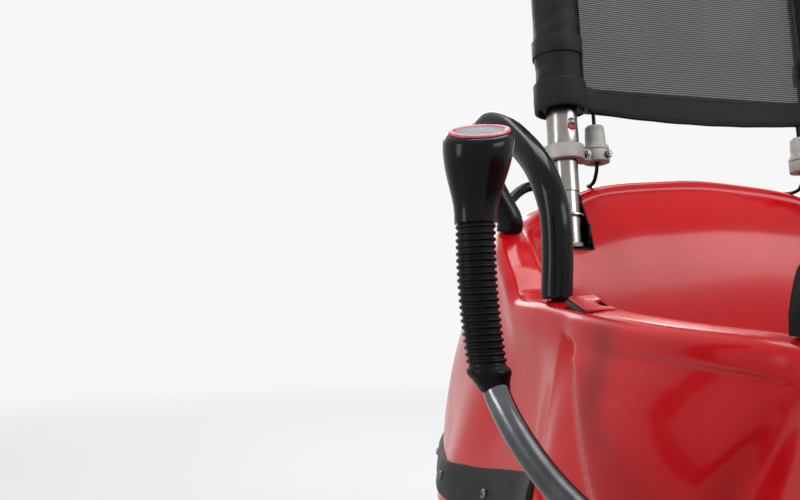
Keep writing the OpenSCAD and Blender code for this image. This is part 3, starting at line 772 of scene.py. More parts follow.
class Repeats:
    """Geometry Nodes trees for what repeats; each result is a plain mesh."""

    @staticmethod
    def _tree(name: str, inputs: Mapping[str, tuple[str, Any]]) -> bpy.types.NodeTree:
        """Start a tree with named inputs and one geometry output."""
        tree = bpy.data.node_groups.new(name, "GeometryNodeTree")
        tree.interface.new_socket("Geometry", in_out="OUTPUT", socket_type="NodeSocketGeometry")
        tree.interface.new_socket("Geometry", in_out="INPUT", socket_type="NodeSocketGeometry")
        for label, (kind, _) in inputs.items():
            tree.interface.new_socket(label, in_out="INPUT", socket_type=kind)
        return tree

    @staticmethod
    def _node(tree: bpy.types.NodeTree, kind: str, sockets: Mapping[Union[int, str], Any] = {},
              **settings: Any) -> bpy.types.Node:
        """Add a node with its settings, values and links."""
        node = tree.nodes.new(kind)
        for key, value in settings.items():
            setattr(node, key, value)
        for key, value in sockets.items():
            if isinstance(value, bpy.types.NodeSocket):
                tree.links.new(value, node.inputs[key])
            else:
                node.inputs[key].default_value = value
        return node

    @staticmethod
    def _run(name: str, tree: bpy.types.NodeTree, inputs: Mapping[str, tuple[str, Any]],
             carrier: Optional[bpy.types.Object] = None) -> bpy.types.Object:
        """Run a tree on a carrier, or on nothing, and return the plain mesh."""
        piece = Maker.mesh(name + "_carrier", [(0, 0, 0)], []) if carrier is None else carrier
        modifier = piece.modifiers.new("Repeats", "NODES")
        modifier.node_group = tree
        for item in tree.interface.items_tree:
            if item.in_out == "INPUT" and item.name in inputs:
                modifier[item.identifier] = inputs[item.name][1]
        Shape(piece).bake()
        piece.name = piece.data.name = name
        return piece

    @classmethod
    def _end(cls, tree: bpy.types.NodeTree, copies: bpy.types.Node, start: bpy.types.Node) -> None:
        """Make the copies real, give them the finish and put them out."""
        real = cls._node(tree, "GeometryNodeRealizeInstances", {0: copies.outputs[0]})
        coat = cls._node(tree, "GeometryNodeSetMaterial",
                         {0: real.outputs[0], "Material": start.outputs["Finish"]})
        cls._node(tree, "NodeGroupOutput", {0: coat.outputs[0]})

    @classmethod
    def stamped(cls, name: str, places: Sequence[tuple[Point, Point]], stamp: bpy.types.Object,
                slot: str, body: str = "root") -> None:
        """Put a small piece at each place, its Z axis along the place's direction.

        Args:
            name: Name of the piece.
            places: Points in metres, each with its direction.
            stamp: The piece to repeat, at the origin; it is used up.
            slot: The slot whose finish it gets.
            body: The body that it rides on.
        """
        carrier = Maker.mesh(name + "_carrier", [p for p, _ in places], [])
        facing = carrier.data.attributes.new("facing", "FLOAT_VECTOR", "POINT")
        facing.data.foreach_set("vector", [c for _, way in places for c in way])
        inputs = {"Stamp": ("NodeSocketObject", stamp), "Size": ("NodeSocketFloat", 1.0),
                  "Finish": ("NodeSocketMaterial", PAINT.get(slot))}
        tree = cls._tree(name, inputs)
        start = cls._node(tree, "NodeGroupInput")
        way = cls._node(tree, "GeometryNodeInputNamedAttribute", {"Name": "facing"},
                        data_type="FLOAT_VECTOR")
        turn = cls._node(tree, "FunctionNodeAlignRotationToVector",
                         {"Vector": way.outputs["Attribute"]}, axis="Z")
        info = cls._node(tree, "GeometryNodeObjectInfo", {"Object": start.outputs["Stamp"]})
        put = cls._node(tree, "GeometryNodeInstanceOnPoints", {
            "Points": start.outputs["Geometry"], "Instance": info.outputs["Geometry"],
            "Rotation": turn.outputs[0], "Scale": start.outputs["Size"]})
        cls._end(tree, put, start)
        piece = cls._run(name, tree, inputs, carrier)
        bpy.data.objects.remove(stamp)
        Dresser.finish(piece, slot, body)

    @classmethod
    def ribs(cls, name: str, count: int, pitch: float, radius: float, bulge: float,
             slot: str) -> bpy.types.Object:
        """Rings one above the other, from the origin up along Z.

        Args:
            name: Name of the piece.
            count: Number of rings.
            pitch: Distance between rings, in metres.
            radius: Radius of a ring's centre line, in metres.
            bulge: Radius of a ring's section, in metres.
            slot: The slot whose finish it gets.

        Returns:
            One plain mesh.
        """
        inputs = {"Count": ("NodeSocketInt", count), "Pitch": ("NodeSocketFloat", pitch),
                  "Radius": ("NodeSocketFloat", radius), "Bulge": ("NodeSocketFloat", bulge),
                  "Finish": ("NodeSocketMaterial", PAINT.get(slot))}
        tree = cls._tree(name, inputs)
        start = cls._node(tree, "NodeGroupInput")
        step = cls._node(tree, "ShaderNodeCombineXYZ", {"Z": start.outputs["Pitch"]})
        line = cls._node(tree, "GeometryNodeMeshLine", {
            "Count": start.outputs["Count"], "Offset": step.outputs[0]}, mode="OFFSET")
        ring = cls._node(tree, "GeometryNodeCurvePrimitiveCircle",
                         {"Resolution": 48, "Radius": start.outputs["Radius"]})
        edge = cls._node(tree, "GeometryNodeCurvePrimitiveCircle",
                         {"Resolution": 10, "Radius": start.outputs["Bulge"]})
        rib = cls._node(tree, "GeometryNodeCurveToMesh",
                        {0: ring.outputs[0], "Profile Curve": edge.outputs[0]})
        put = cls._node(tree, "GeometryNodeInstanceOnPoints",
                        {"Points": line.outputs[0], "Instance": rib.outputs[0]})
        cls._end(tree, put, start)
        piece = cls._run(name, tree, inputs)
        Maker.outward(piece)
        return piece


class Fasteners:
    """Small fasteners that other classes repeat."""

    @staticmethod
    def button(head: float, height: float) -> bpy.types.Object:
        """A button head with a hexagonal recess, sizes in millimetres.

        Args:
            head: Radius of the head.
            height: Height of the head.

        Returns:
            The head, standing on the origin.
        """
        recess = head * 0.46
        profile = [(head, 0.0), (head, height * 0.25), (head * 0.93, height * 0.6),
                   (head * 0.76, height * 0.88), (recess + 0.6, height), (recess, height * 0.95)]
        sixth = math.pi / 6
        angles = [k * math.tau / 18 for k in range(18)]
        hexagon = [recess * math.cos(sixth) / math.cos((a + sixth) % (2 * sixth) - sixth)
                   for a in angles]
        levels = [([r] * 18, z) for r, z in profile]
        levels += [(hexagon, height * 0.92), (hexagon, height * 0.35)]
        rings = [[Vector((r * math.cos(a), r * math.sin(a), z)) * MM for r, a in zip(radii, angles)]
                 for radii, z in levels]
        return Maker.loft("button", rings)

    @staticmethod
    def hexagon(across: float, height: float, washer: float) -> bpy.types.Object:
        """A hexagon nut on its washer, sizes in millimetres.

        Args:
            across: Width across the flats.
            height: Height of the nut.
            washer: Radius of the washer.

        Returns:
            The nut, standing on the origin.
        """
        corner = across / math.sqrt(3)
        outline = [(corner * math.cos(k * math.pi / 3), corner * math.sin(k * math.pi / 3))
                   for k in range(6)]
        nut = Maker.prism("nut", outline, 1.6, height, round_off=0.7)
        ring = Maker.turned("washer", [(0.01, 0), (washer, 0), (washer, 1.2), (washer - 0.4, 1.6),
                                       (0.01, 1.6)], sides=24)
        thread, top = across * 0.28, height + 1.9
        stud = Maker.turned("stud", [(0.01, height), (thread, height), (thread, top - 0.5),
                                     (across * 0.24, top), (0.01, top)], sides=16)
        return Maker.joined("hexagon", [nut, ring, stud])


# The tub


def mix(a: Any, b: Any, t: float) -> Any:
    """Straight mix of two numbers or vectors."""
    return a + (b - a) * t


def ease(a: float, b: float, c: float, d: float, t: float) -> float:
    """Smooth value between b and c with no overshoot.

    Args:
        a: Value before b.
        b: Value at t = 0.
        c: Value at t = 1.
        d: Value after c.
        t: Place between b and c.

    Returns:
        The value at t.
    """
    def slope(p: float, q: float, r: float) -> float:
        """Tangent at q."""
        return 0.0 if (q - p) * (r - q) <= 0 else 2 * (q - p) * (r - q) / (r - p)
    u, w = t * t, t * t * t
    return ((2 * w - 3 * u + 1) * b + (w - 2 * u + t) * slope(a, b, c)
            + (3 * u - 2 * w) * c + (w - u) * slope(b, c, d))


def eased(table: Sequence[Sequence[float]], s: float, column: int) -> float:
    """Value of a column at a row number that may lie between rows."""
    last = len(table) - 1
    k = min(int(math.floor(s)), last - 1)
    pick = [table[min(max(i, 0), last)][column] for i in (k - 1, k, k + 1, k + 2)]
    return ease(*pick, s - k)


def smooth(value: float) -> float:
    """Smooth step from 0 to 1, held level past both ends."""
    t = min(1.0, max(0.0, value))
    return t * t * (3 - 2 * t)


@dataclass(frozen=True)
class Post:
    """The left stanchion: its place, thickness and the floor of its pocket, in millimetres."""

    x: float = 205.0
    y: float = 122.0
    d: float = 30.0
    floor: float = 548.0


POST = Post()


@dataclass(frozen=True)
class Recess:
    """The recess behind the knee, in millimetres: a leaning sharp edge and an arched top."""

    deep: float = 11.0
    edge: float = -225.0
    level: float = 440.0
    slope: float = 0.6
    wide: float = 18.0
    reach: float = 120.0
    top: float = 470.0
    crest: float = 55.0
    span: float = 11.0
    fade: float = 16.0
    # the skin's bulge at which it ends, and the bulge over which it fades
    flat: float = -4.0
    drop: float = 16.0


@dataclass
class Tub:
    """The moulded tub: a double-walled loft whose stations run round it from the nose."""

    base: float = 250.0
    floor: float = 280.0
    edge: float = 15.0
    lip_drop: float = 13.0
    lip_step: float = 8.0
    fillet: float = 24.0
    steps: int = 14
    # rim x, rim y, rim z, foot x, foot y, bulge, wall at the rim, inner slope, lip
    rows: tuple[Point, ...] = (
        (0, -748, 466, 0, -748, 0, 60, 16, 0), (105, -748, 466, 108, -748, 0, 58, 16, 0),
        (190, -747, 458, 198, -747, 0, 50, 16, 1), (258, -728, 424, 272, -728, 4, 38, 16, 3),
        (312, -672, 402, 320, -672, 9, 34, 14, 4), (336, -600, 402, 340, -590, 12, 34, 12, 4),
        (343, -530, 424, 350, -500, 12, 38, 12, 4), (340, -484, 446, 354, -414, 0, 42, 12, 2),
        (338, -462, 456, 354, -372, -9, 44, 12, 1), (346, -434, 460, 368, -340, 6, 50, 12, 5),
        (357, -330, 466, 382, -268, 12, 58, 12, 2), (361, -225, 474, 388, -200, 12, 60, 12, 0),
        (359, -186, 478, 389, -164, -4, 60, 12, 0), (359, -130, 484, 390, -110, -20, 60, 12, 0),
        (357, -72, 488, 390, -14, -24, 56, 14, 0), (350, -24, 522, 386, 80, -16, 50, 16, 0),
        (340, 26, 554, 354, 188, -4, 48, 24, 0), (322, 82, 576, 314, 300, 8, 48, 34, 0),
        (280, 132, 592, 268, 404, 18, 50, 48, 0), (222, 164, 613, 214, 500, 26, 52, 60, 0),
        (150, 176, 637, 150, 580, 34, 52, 68, 0), (76, 178, 646, 78, 640, 38, 50, 70, 0),
        (0, 178, 650, 0, 662, 40, 50, 70, 0))
    # height share, share of the way in, bulge share, lip share
    skin: tuple[Point, ...] = (
        (0, 0, 0, 0), (0.1, 0.06, 0.25, 0), (0.28, 0.2, 0.75, 0), (0.5, 0.42, 1, 0.2),
        (0.72, 0.68, 0.8, 0.7), (0.86, 0.86, 0.4, 1))
    inner_fall: float = 0.18
    latch: Point = (338.0, -204.0, 476.0)
    latch_tilt: float = 8.0
    # width, length and depth
    latch_size: Point = (27.0, 52.0, 9.0)
    # turns of the plate in its recess about X, Y and Z, in radians
    plate_turns: Point = (0.105, 0.1, 0.09)
    # the post's pocket: half width, reach to the front and to the rear
    pocket: Point = (25.0, 60.0, 26.0)
    recess: Recess = Recess()
    skirt_from: int = 12
    skirt_thick: float = 5.0
    skirt_fall: float = 4.5
    # height shares: lower edge, upper edge at the front ends, upper edge round the rear
    skirt_shares: Point = (0.04, 0.352, 0.13)
    # stations of the skirt's screws on one side
    screws: Point = (12.25, 13.7, 15.2, 16.8, 18.5, 20.1, 21.5)

    def value(self, s: float, column: int) -> float:
        """Smooth value of a column at a station.

        Args:
            s: Station number round the tub.
            column: Column of the table.

        Returns:
            The value, mirrored for the far side.
        """
        last = len(self.rows) - 1
        total = 2 * last

        def at(k: int) -> float:
            """Value at a whole station."""
            i = k % total
            far = i > last
            v = self.rows[total - i if far else i][column]
            return -v if far and column in (0, 3) else v
        k = math.floor(s)
        return ease(at(k - 1), at(k), at(k + 1), at(k + 2), s - k)

    def rim(self, s: float) -> Vector:
        """The rim's outermost line in plan, in millimetres."""
        return Vector((self.value(s, 0), self.value(s, 1)))

    def outward(self, s: float) -> Vector:
        """The direction away from the tub in plan."""
        d = self.rim(s + 0.4) - self.rim(s - 0.4)
        return Vector((d.y, -d.x)).normalized()

    def flank(self, s: float, row: float, proud: float = 0.0, sunk: bool = True) -> Vector:
        """A point of the outer skin.

        Args:
            s: Station number.
            row: Row of the skin's table; may lie between rows.
            proud: Distance outwards, in millimetres.
            sunk: Whether the recess behind the knee is pressed in.

        Returns:
            The point, in millimetres.
        """
        rise, inward, bulge, lip = (eased(self.skin, row, c) for c in range(4))
        foot = Vector((self.value(s, 3), self.value(s, 4)))
        p = foot + (self.rim(s) - foot) * inward
        z = mix(self.base, self.value(s, 2) - self.edge, rise)
        p += self.outward(s) * (self.value(s, 5) * bulge - self.value(s, 8) * lip + proud
                                - (self.hollow(s, p.y, z) if sunk else 0.0))
        return Vector((p.x, p.y, z))

    def hollow(self, s: float, y: float, z: float) -> float:
        """Depth of the recess behind the knee, whose edge is sharp and whose top is an arch.

        Args:
            s: Station number; the recess fades as the skin itself draws in.
            y: Place along the car.
            z: Height.

        Returns:
            The depth, in millimetres.
        """
        r = self.recess
        behind = y - (r.edge + (z - r.level) * r.slope)
        if behind <= 0 or behind > r.reach:
            return 0.0
        arch = r.top - ((behind - r.crest) / r.span) ** 2
        left = min(1.0, max(0.0, (self.value(s, 5) - r.flat) / r.drop))
        return r.deep * smooth(behind / r.wide) * left * smooth((arch - z) / r.fade)

    def inset(self, s: float, depth: float, z: float) -> Vector:
        """A point inside the rim's line, in millimetres."""
        p = self.rim(s) - self.outward(s) * depth
        return Vector((p.x, p.y, z))

    def under_rim(self, s: float, depth: float, z: float) -> Vector:
        """A point of the rim's outer side, drawn in where the recess reaches it."""
        return self.inset(s, depth + self.hollow(s, self.rim(s).y, z), z)

    def section(self, s: float) -> list[Vector]:
        """One section from the foot over the rim to the floor.

        Args:
            s: Station number.

        Returns:
            Its points, in metres.
        """
        wall, slope, lip, top = (self.value(s, c) for c in (6, 7, 8, 2))
        low, e, foot = top - self.edge, self.edge, wall + slope
        points = [self.flank(s, r / 6) for r in range(6 * (len(self.skin) - 1) + 1)]
        under = low - self.lip_drop
        above, below = self.inset(s, lip, under), self.flank(s, len(self.skin) - 1, sunk=False)
        for t in (0.2, 0.4, 0.6, 0.8):
            p = below.lerp(above, t)
            points.append(p - self.outward(s).to_3d() * self.hollow(s, self.rim(s).y, p.z))
        for t in (0.0, 0.25, 0.5, 0.75, 1.0):
            points.append(self.under_rim(s, lip * (1 - smooth(t)), under + self.lip_step * t))
        for k in range(10):
            a = k * math.pi / 18
            points.append(self.under_rim(s, e * (1 - math.cos(a)), low + e * math.sin(a)))
        for t in (0.25, 0.5, 0.75):
            points.append(self.inset(s, mix(e, wall - e, t), top + 1.6 * math.sin(math.pi * t)))
        for k in range(9, -1, -1):
            a = k * math.pi / 18
            points.append(self.inset(s, wall - e * (1 - math.cos(a)), low + e * math.sin(a)))
        down = [[wall, low], [mix(wall, foot, 0.5), mix(low, self.floor, self.inner_fall)],
                [foot, self.floor + self.fillet]]
        points += [self.inset(s, eased(down, k / 5, 0), eased(down, k / 5, 1))
                   for k in range(1, 11)]
        for k in range(1, 8):
            a = k * math.pi / 14
            points.append(self.inset(s, foot + self.fillet * (1 - math.cos(a)),
                                     self.floor + self.fillet * (1 - math.sin(a))))
        return [p * MM for p in points]

    def latch_frame(self) -> Matrix:
        """Place of the left latch."""
        return move(*self.latch) @ spin(math.radians(self.latch_tilt), "X")

    def shell(self) -> None:
        """The red shell with its pockets."""
        count = 2 * (len(self.rows) - 1) * self.steps
        rings = [self.section(i / self.steps) for i in range(count)]
        n, m = count, len(rings[0])
        points = [p for ring in rings for p in ring]
        points += [Vector((0, -0.06, self.base * MM)), Vector((0, -0.25, self.floor * MM))]
        faces = [(j * m + i, j * m + i + 1, (j + 1) % n * m + i + 1, (j + 1) % n * m + i)
                 for j in range(n) for i in range(m - 1)]
        faces += [(j * m, (j + 1) % n * m, n * m) for j in range(n)]
        faces += [((j + 1) % n * m + m - 1, j * m + m - 1, n * m + 1) for j in range(n)]
        piece = Maker.mesh("tub", points, faces)
        Maker.outward(piece)
        self.linings(piece)
        half, front, back = self.pocket
        x, y, low = POST.x, POST.y, POST.floor
        wide, long, deep = self.latch_size
        for cutter in (
                Maker.block("cut", (x - half, y - front, low), (x + half, y + back, low + 200)),
                Maker.block("cut", (-wide / 2, -long / 2, -deep), (wide / 2, long / 2, deep + 10),
                            self.latch_frame())):
            Shape(piece).cut(Maker.mirrored(cutter))
        Dresser.finish(piece, "tub_plastic", replaces="tub_shell", sharp=34)

    def linings(self, solid: bpy.types.Object) -> None:
        """Black linings on the walls of the posts' pockets, ending at the tub's own surface.

        Args:
            solid: The tub before its pockets are cut.
        """
        half, front, back = self.pocket
        x, y, low = POST.x, POST.y, POST.floor
        lining = Maker.block("pocket_linings", (x - half + 0.3, y - front + 0.5, low + 0.4),
                             (x + half - 0.3, y + back - 0.3, low + 120))
        Shape(lining).cut(Maker.block("cut", (x - half + 2, y - front - 9, low + 2),
                                      (x + half - 2, y + back - 2, low + 130)))
        Maker.mirrored(lining)
        Shape(lining).add("BOOLEAN", operation="INTERSECT", solver="EXACT", object=solid).bake()
        Dresser.finish(lining, "guard_plastic")

    def row_at(self, share: float) -> float:
        """Row number at which the flank reaches a share of its height."""
        low, high = 0.0, len(self.skin) - 1.0
        for _ in range(24):
            middle = (low + high) / 2
            if eased(self.skin, middle, 0) < share:
                low = middle
            else:
                high = middle
        return low

    def skirt_top(self, s: float) -> float:
        """Height share of the skirt's upper edge at a station."""
        _, front, rear = self.skirt_shares
        way = min(s, 2 * (len(self.rows) - 1) - s) - self.skirt_from
        return mix(front, rear, smooth(way / self.skirt_fall))

    def skirt(self) -> None:
        """The black band round the rear of the foot, with its screws."""
        last = len(self.rows) - 1
        count = (2 * last - 2 * self.skirt_from) * self.steps
        low = self.row_at(self.skirt_shares[0])
        rings = []
        for i in range(count + 1):
            s = self.skirt_from + i / self.steps
            high = self.row_at(self.skirt_top(s))
            rows = [mix(low, high, k / 8) for k in range(9)]
            end = min(1.0, i / 3, (count - i) / 3)
            proud = 0.8 + self.skirt_thick * math.sqrt(1 - (1 - end) ** 2) * 0.96
            ring = [self.flank(s, r, proud - (1.6 if k in (0, 8) else 0.0))
                    for k, r in enumerate(rows)]
            ring += [self.flank(s, r, 0.4) for r in reversed(rows)]
            rings.append([p * MM for p in ring])
        band = Maker.loft("skirt", rings)
        Dresser.finish(band, "skirt_plastic", replaces="base_skirt", sharp=50)
        places = []
        for s in self.screws:
            for station in (s, 2 * last - s):
                out = self.outward(station)
                share = mix(self.skirt_shares[0], self.skirt_top(station), 0.52)
                spot = self.flank(station, self.row_at(share), self.skirt_thick + 0.4) * MM
                places.append((tuple(spot), (out.x, out.y, 0.12)))
        Repeats.stamped("skirt_screws", places, Fasteners.button(5.4, 3.0), "bright_steel")

    def latches(self) -> None:
        """The belt latches: black wells with a rounded bezel and the red plates."""
        wide, long, deep = self.latch_size
        half, reach = wide / 2, long / 2
        place = self.latch_frame()
        for axis, angle in zip("XYZ", self.plate_turns):
            place = place @ spin(angle, axis)
        notch = [(-half - 2, -20.5), (1.5 - half, -20.5), (10.5 - half, -13.3), (11 - half, -0.6),
                 (-half - 2, 13)]

        def outline(inset: float, rim: float) -> list[Point]:
            """The latch in plan, its outer side shorter than its inner one."""
            h, r = half + rim - inset, reach + rim - inset
            return [(-h, -r), (h - 5, -r + 2), (h - 1.2, -r + 4.5), (h, -r + 9), (h, r), (-h, r)]
        ring = Maker.prism("ring", outline(0.0, 0.6), -0.4, 3.4, place, 0.9)
        Shape(ring).cut(Maker.prism("cut", [(u + 1.6, v) for u, v in notch], 0.5, 9.0, place))
        well = Maker.block("well", (-half + 0.4, -reach + 0.4, -deep + 0.4),
                           (half - 0.4, reach - 0.4, 0.2), place)
        socket = Maker.mirrored(Maker.joined("latch_wells", [ring, well]))
        Dresser.finish(socket, "guard_plastic", replaces="latch_sockets")
        plate = Maker.prism("plate", outline(1.3, 0.0), 3.0, 6.6, place, 1.0)
        Shape(plate).cut(Maker.prism("cut", notch, 2.0, 9.0, place))
        Dresser.finish(Maker.mirrored(plate), "latch_red", replaces="latch_plates")

    def build(self) -> None:
        """Build every piece of the tub."""
        self.shell()
        self.skirt()
        self.latches()


# Seat


def route(points: Sequence[Point], parts: int) -> list[Vector]:
    """Points along a smooth route through a few chosen ones.

    Args:
        points: The chosen points, in millimetres.
        parts: Number of steps between two of them.

    Returns:
        The points, in metres.
    """
    last = len(points) - 1

    def at(k: int) -> Vector:
        """A chosen point, the end ones repeated."""
        return Vector(points[min(max(k, 0), last)])
    line = []
    for i in range(last * parts + 1):
        k = min(i // parts, last - 1)
        t = i / parts - k
        a, b, c, d = at(k - 1), at(k), at(k + 1), at(k + 2)
        line.append((2 * b + (c - a) * t + (2 * a - 5 * b + 4 * c - d) * t * t
                     + (3 * b - 3 * c + d - a) * t ** 3) * 0.5 * MM)
    return line


def convex(points: Sequence[Point]) -> list[Point]:
    """The convex outline round flat points, counter-clockwise."""
    def half(row: Sequence[Point]) -> list[Point]:
        """One side of the outline."""
        line: list[Point] = []
        for p in row:
            while len(line) > 1 and ((line[-1][0] - line[-2][0]) * (p[1] - line[-2][1])
                                     <= (line[-1][1] - line[-2][1]) * (p[0] - line[-2][0])):
                line.pop()
            line.append(p)
        return line[:-1]
    ordered = sorted(points)
    return half(ordered) + half(ordered[::-1])


class Stuffing:
    """Swells closed fabric pieces by a short cloth simulation."""

    FRAMES = 20
    QUALITY = 4
    MASS = 0.3

    @classmethod
    def puffed(cls, piece: bpy.types.Object, cap: float, voxel: float,
               held: Callable[[Vector], bool], pressure: float = 4.0) -> None:
        """Swell a piece and cap how far a point moves.

        Args:
            piece: A closed piece.
            cap: Largest move of a point, in metres.
            voxel: Size of the remesh, in metres.
            held: Says which points stay where they are.
            pressure: Pressure inside.
        """
        Shape(piece).add("REMESH", mode="VOXEL", voxel_size=voxel).bake()
        count = len(piece.data.vertices)
        rest = np.empty(count * 3)
        piece.data.vertices.foreach_get("co", rest)
        cloth = piece.modifiers.new("Cloth", "CLOTH")
        group = piece.vertex_groups.new(name="held")
        group.add([v.index for v in piece.data.vertices if held(v.co)], 1.0, "REPLACE")
        cloth.settings.vertex_group_mass = "held"
        cloth.settings.quality = cls.QUALITY
        cloth.settings.mass = cls.MASS
        cloth.settings.use_pressure = True
        cloth.settings.uniform_pressure_force = pressure
        cloth.settings.effector_weights.gravity = 0.0
        cloth.point_cache.frame_start = 1
        cloth.point_cache.frame_end = cls.FRAMES
        for number in range(1, cls.FRAMES + 1):
            bpy.context.scene.frame_set(number)
        Shape(piece).bake()
        piece.vertex_groups.clear()
        moved = np.empty(count * 3)
        piece.data.vertices.foreach_get("co", moved)
        shift = (moved - rest).reshape(-1, 3)
        reach = np.linalg.norm(shift, axis=1, keepdims=True)
        shift *= np.minimum(1.0, cap / np.maximum(reach, 1e-9))
        piece.data.vertices.foreach_set("co", (rest.reshape(-1, 3) + shift).ravel())
        piece.data.update()
        bpy.context.scene.frame_set(1)


@dataclass
class Seat:
    """The moulded seat block and its pad, in millimetres."""

    width: float = 330.0
    front: float = -400.0
    rear: float = 28.0
    waist: float = -110.0
    waist_in: float = 12.0
    rear_in: float = 80.0
    corner: float = 32.0
    low: float = 352.6
    thick: float = 46.0
    inset: float = 14.0
    crown: float = 5.0
    swell: float = 3.0
    piping: float = 2.6
    # shares of the way from the pad's middle to its edge
    crown_rows: Point = (0.94, 0.86, 0.74, 0.6, 0.45, 0.3, 0.15)
    grooves: Point = (-268.0, -136.0)
    groove_wide: float = 4.5
    groove_deep: float = 2.6
    rim_points: int = 120
    # inset and height of the pad's side, from its underside up
    side_rows: tuple[Point, ...] = (
        (40, 0.0), (9, 0.0), (3, 2.5), (0.6, 8), (0, 16), (1, 25), (4, 32), (9, 37), (16, 40))

    def outline(self, inset: float) -> list[Vector]:
        """The outline in plan, its points at even angles round the middle.

        Args:
            inset: Distance inside the seat block's own outline.

        Returns:
            The points, in millimetres.
        """
        half, r = self.width / 2 - inset, self.corner
        discs = [(half - r, self.front + inset + r), (half - r - self.waist_in, self.waist),
                 (half - r - self.rear_in, self.rear - inset - r)]
        ring = [(sign * x + r * math.cos(a), y + r * math.sin(a))
                for x, y in discs for sign in (-1, 1)
                for a in (k * math.tau / 40 for k in range(40))]
        hull = convex(ring)
        middle = (self.front + self.rear) / 2
        points = []
        for k in range(self.rim_points):
            a = k * math.tau / self.rim_points
            way = Vector((math.cos(a), math.sin(a)))
            best = 0.0
            for corner, following in zip(hull, hull[1:] + hull[:1]):
                edge = Vector(following) - Vector(corner)
                start = Vector(corner) - Vector((0, middle))
                across = way.x * edge.y - way.y * edge.x
                if abs(across) > 1e-9:
                    reach = (start.x * edge.y - start.y * edge.x) / across
                    along = (start.x * way.y - start.y * way.x) / across
                    if reach > 0 and -1e-6 <= along <= 1 + 1e-6:
                        best = max(best, reach)
            points.append(Vector((0, middle)) + way * best)
        return points

    def ring(self, inset: float, height: float) -> list[Vector]:
        """The outline at a height over the seat block, in metres."""
        return [Vector((p.x, p.y, self.low + height)) * MM for p in self.outline(inset)]

    def pad(self) -> None:
        """The crowned pad, its grooves and the piping round its top."""
        rings = [self.ring(self.inset + self.swell + i, z) for i, z in self.side_rows]
        edge_inset, edge_z = self.side_rows[-1]
        edge = self.outline(self.inset + self.swell + edge_inset)
        middle = Vector((0, (self.front + self.rear) / 2))
        for share in self.crown_rows:
            top = self.low + edge_z + self.crown * (1 - share ** 2.2)
            rings.append([Vector((*(middle + (p - middle) * share), top)) * MM for p in edge])
        pad = Maker.loft("seat_pad_dressed", rings)
        floor = self.low * MM + 0.001
        Stuffing.puffed(pad, self.swell * MM, 0.0055, held=lambda p: p.z < floor)
        for vert in pad.data.vertices:
            vert.co.z = max(vert.co.z, self.low * MM)
        Shape(pad).subdivide(1).bake()
        for vert in pad.data.vertices:
            if vert.co.z > (self.low + self.thick * 0.7) * MM:
                for place in self.grooves:
                    off = (vert.co.y / MM - place) / self.groove_wide
                    vert.co.z -= self.groove_deep * MM * math.exp(-off * off)
        Dresser.finish(pad, "pad_vinyl", replaces="seat_pad", sharp=80)
        seam = self.ring(self.inset + 2.2, 34.0)
        pipe = Maker.tube("seat_pad_piping", seam + seam[:2], self.piping * MM, 10)
        Dresser.finish(pipe, "pad_vinyl", sharp=80)

    def build(self) -> None:
        """Build the seat."""
        Dresser.softened("seat_plinth", "tub_plastic", width=2.4)
        self.pad()


@dataclass
class Trim:
    """The bumpers, leg guards, loop handles and the hoses behind them, in millimetres."""

    loop: float = 30.0
    hose: float = 13.0
    loop_points: tuple[Point, ...] = (
        (341, -140, 485), (339.5, -140, 530), (340, -137, 566), (341.5, -124, 595),
        (342.5, -99, 623), (345, -64, 649), (350, -30, 670), (354, 6, 680), (351, 34, 665),
        (341, 46, 634), (328, 42, 604), (315, 38.6, 578.4), (314, 42.6, 567.5))
    hose_points: tuple[Point, ...] = (
        (297, 88, 582.8), (298.4, 85.4, 593.5), (288, 96, 611), (261, 109, 628))
    # node, edge radius, side along Y, bolts at x and z
    bumper_rows: tuple[tuple[str, float, int, tuple[Point, ...]], ...] = (
        ("front_bumper", 5.0, -1, ((128, 300), (128, 402))),
        ("rear_bumper", 4.0, 1, ((104, 232),)))

    def bumpers(self) -> None:
        """The rounded pads and the bolts sunk in them."""
        for node, width, _, _ in self.bumper_rows:
            Dresser.softened(node, "bumper_rubber", width=width)
        for node, _, way, bolts in self.bumper_rows:
            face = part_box(node)[max(0, way)][1]
            places = [((side * x * MM, face - way * MM, z * MM), (0, way, 0))
                      for x, z in bolts for side in (-1, 1)]
            Repeats.stamped(node + "_bolts", places, Fasteners.button(9.0, 4.0), "bright_steel")

    def loops(self) -> None:
        """The loop handles and the hoses to the posts."""
        line = route(self.loop_points, 8)
        handle = Maker.tube("loop_handles_dressed", line, self.loop / 2 * MM, 28, 0.0022)
        Dresser.finish(Maker.mirrored(handle), "loop_plastic", replaces="loop_handles", sharp=60)
        path = route((*self.hose_points, (POST.x + POST.d / 2 + 1, 116, 633)), 8)
        hose = Maker.tube("hose_guides_dressed", path, self.hose / 2 * MM, 18, 0.0012)
        Dresser.finish(Maker.mirrored(hose), "loop_plastic", replaces="hose_guides", sharp=60)

    def build(self) -> None:
        """Build the trim."""
        self.bumpers()
        Dresser.softened("leg_guards", "guard_plastic", width=4.2)
        self.loops()


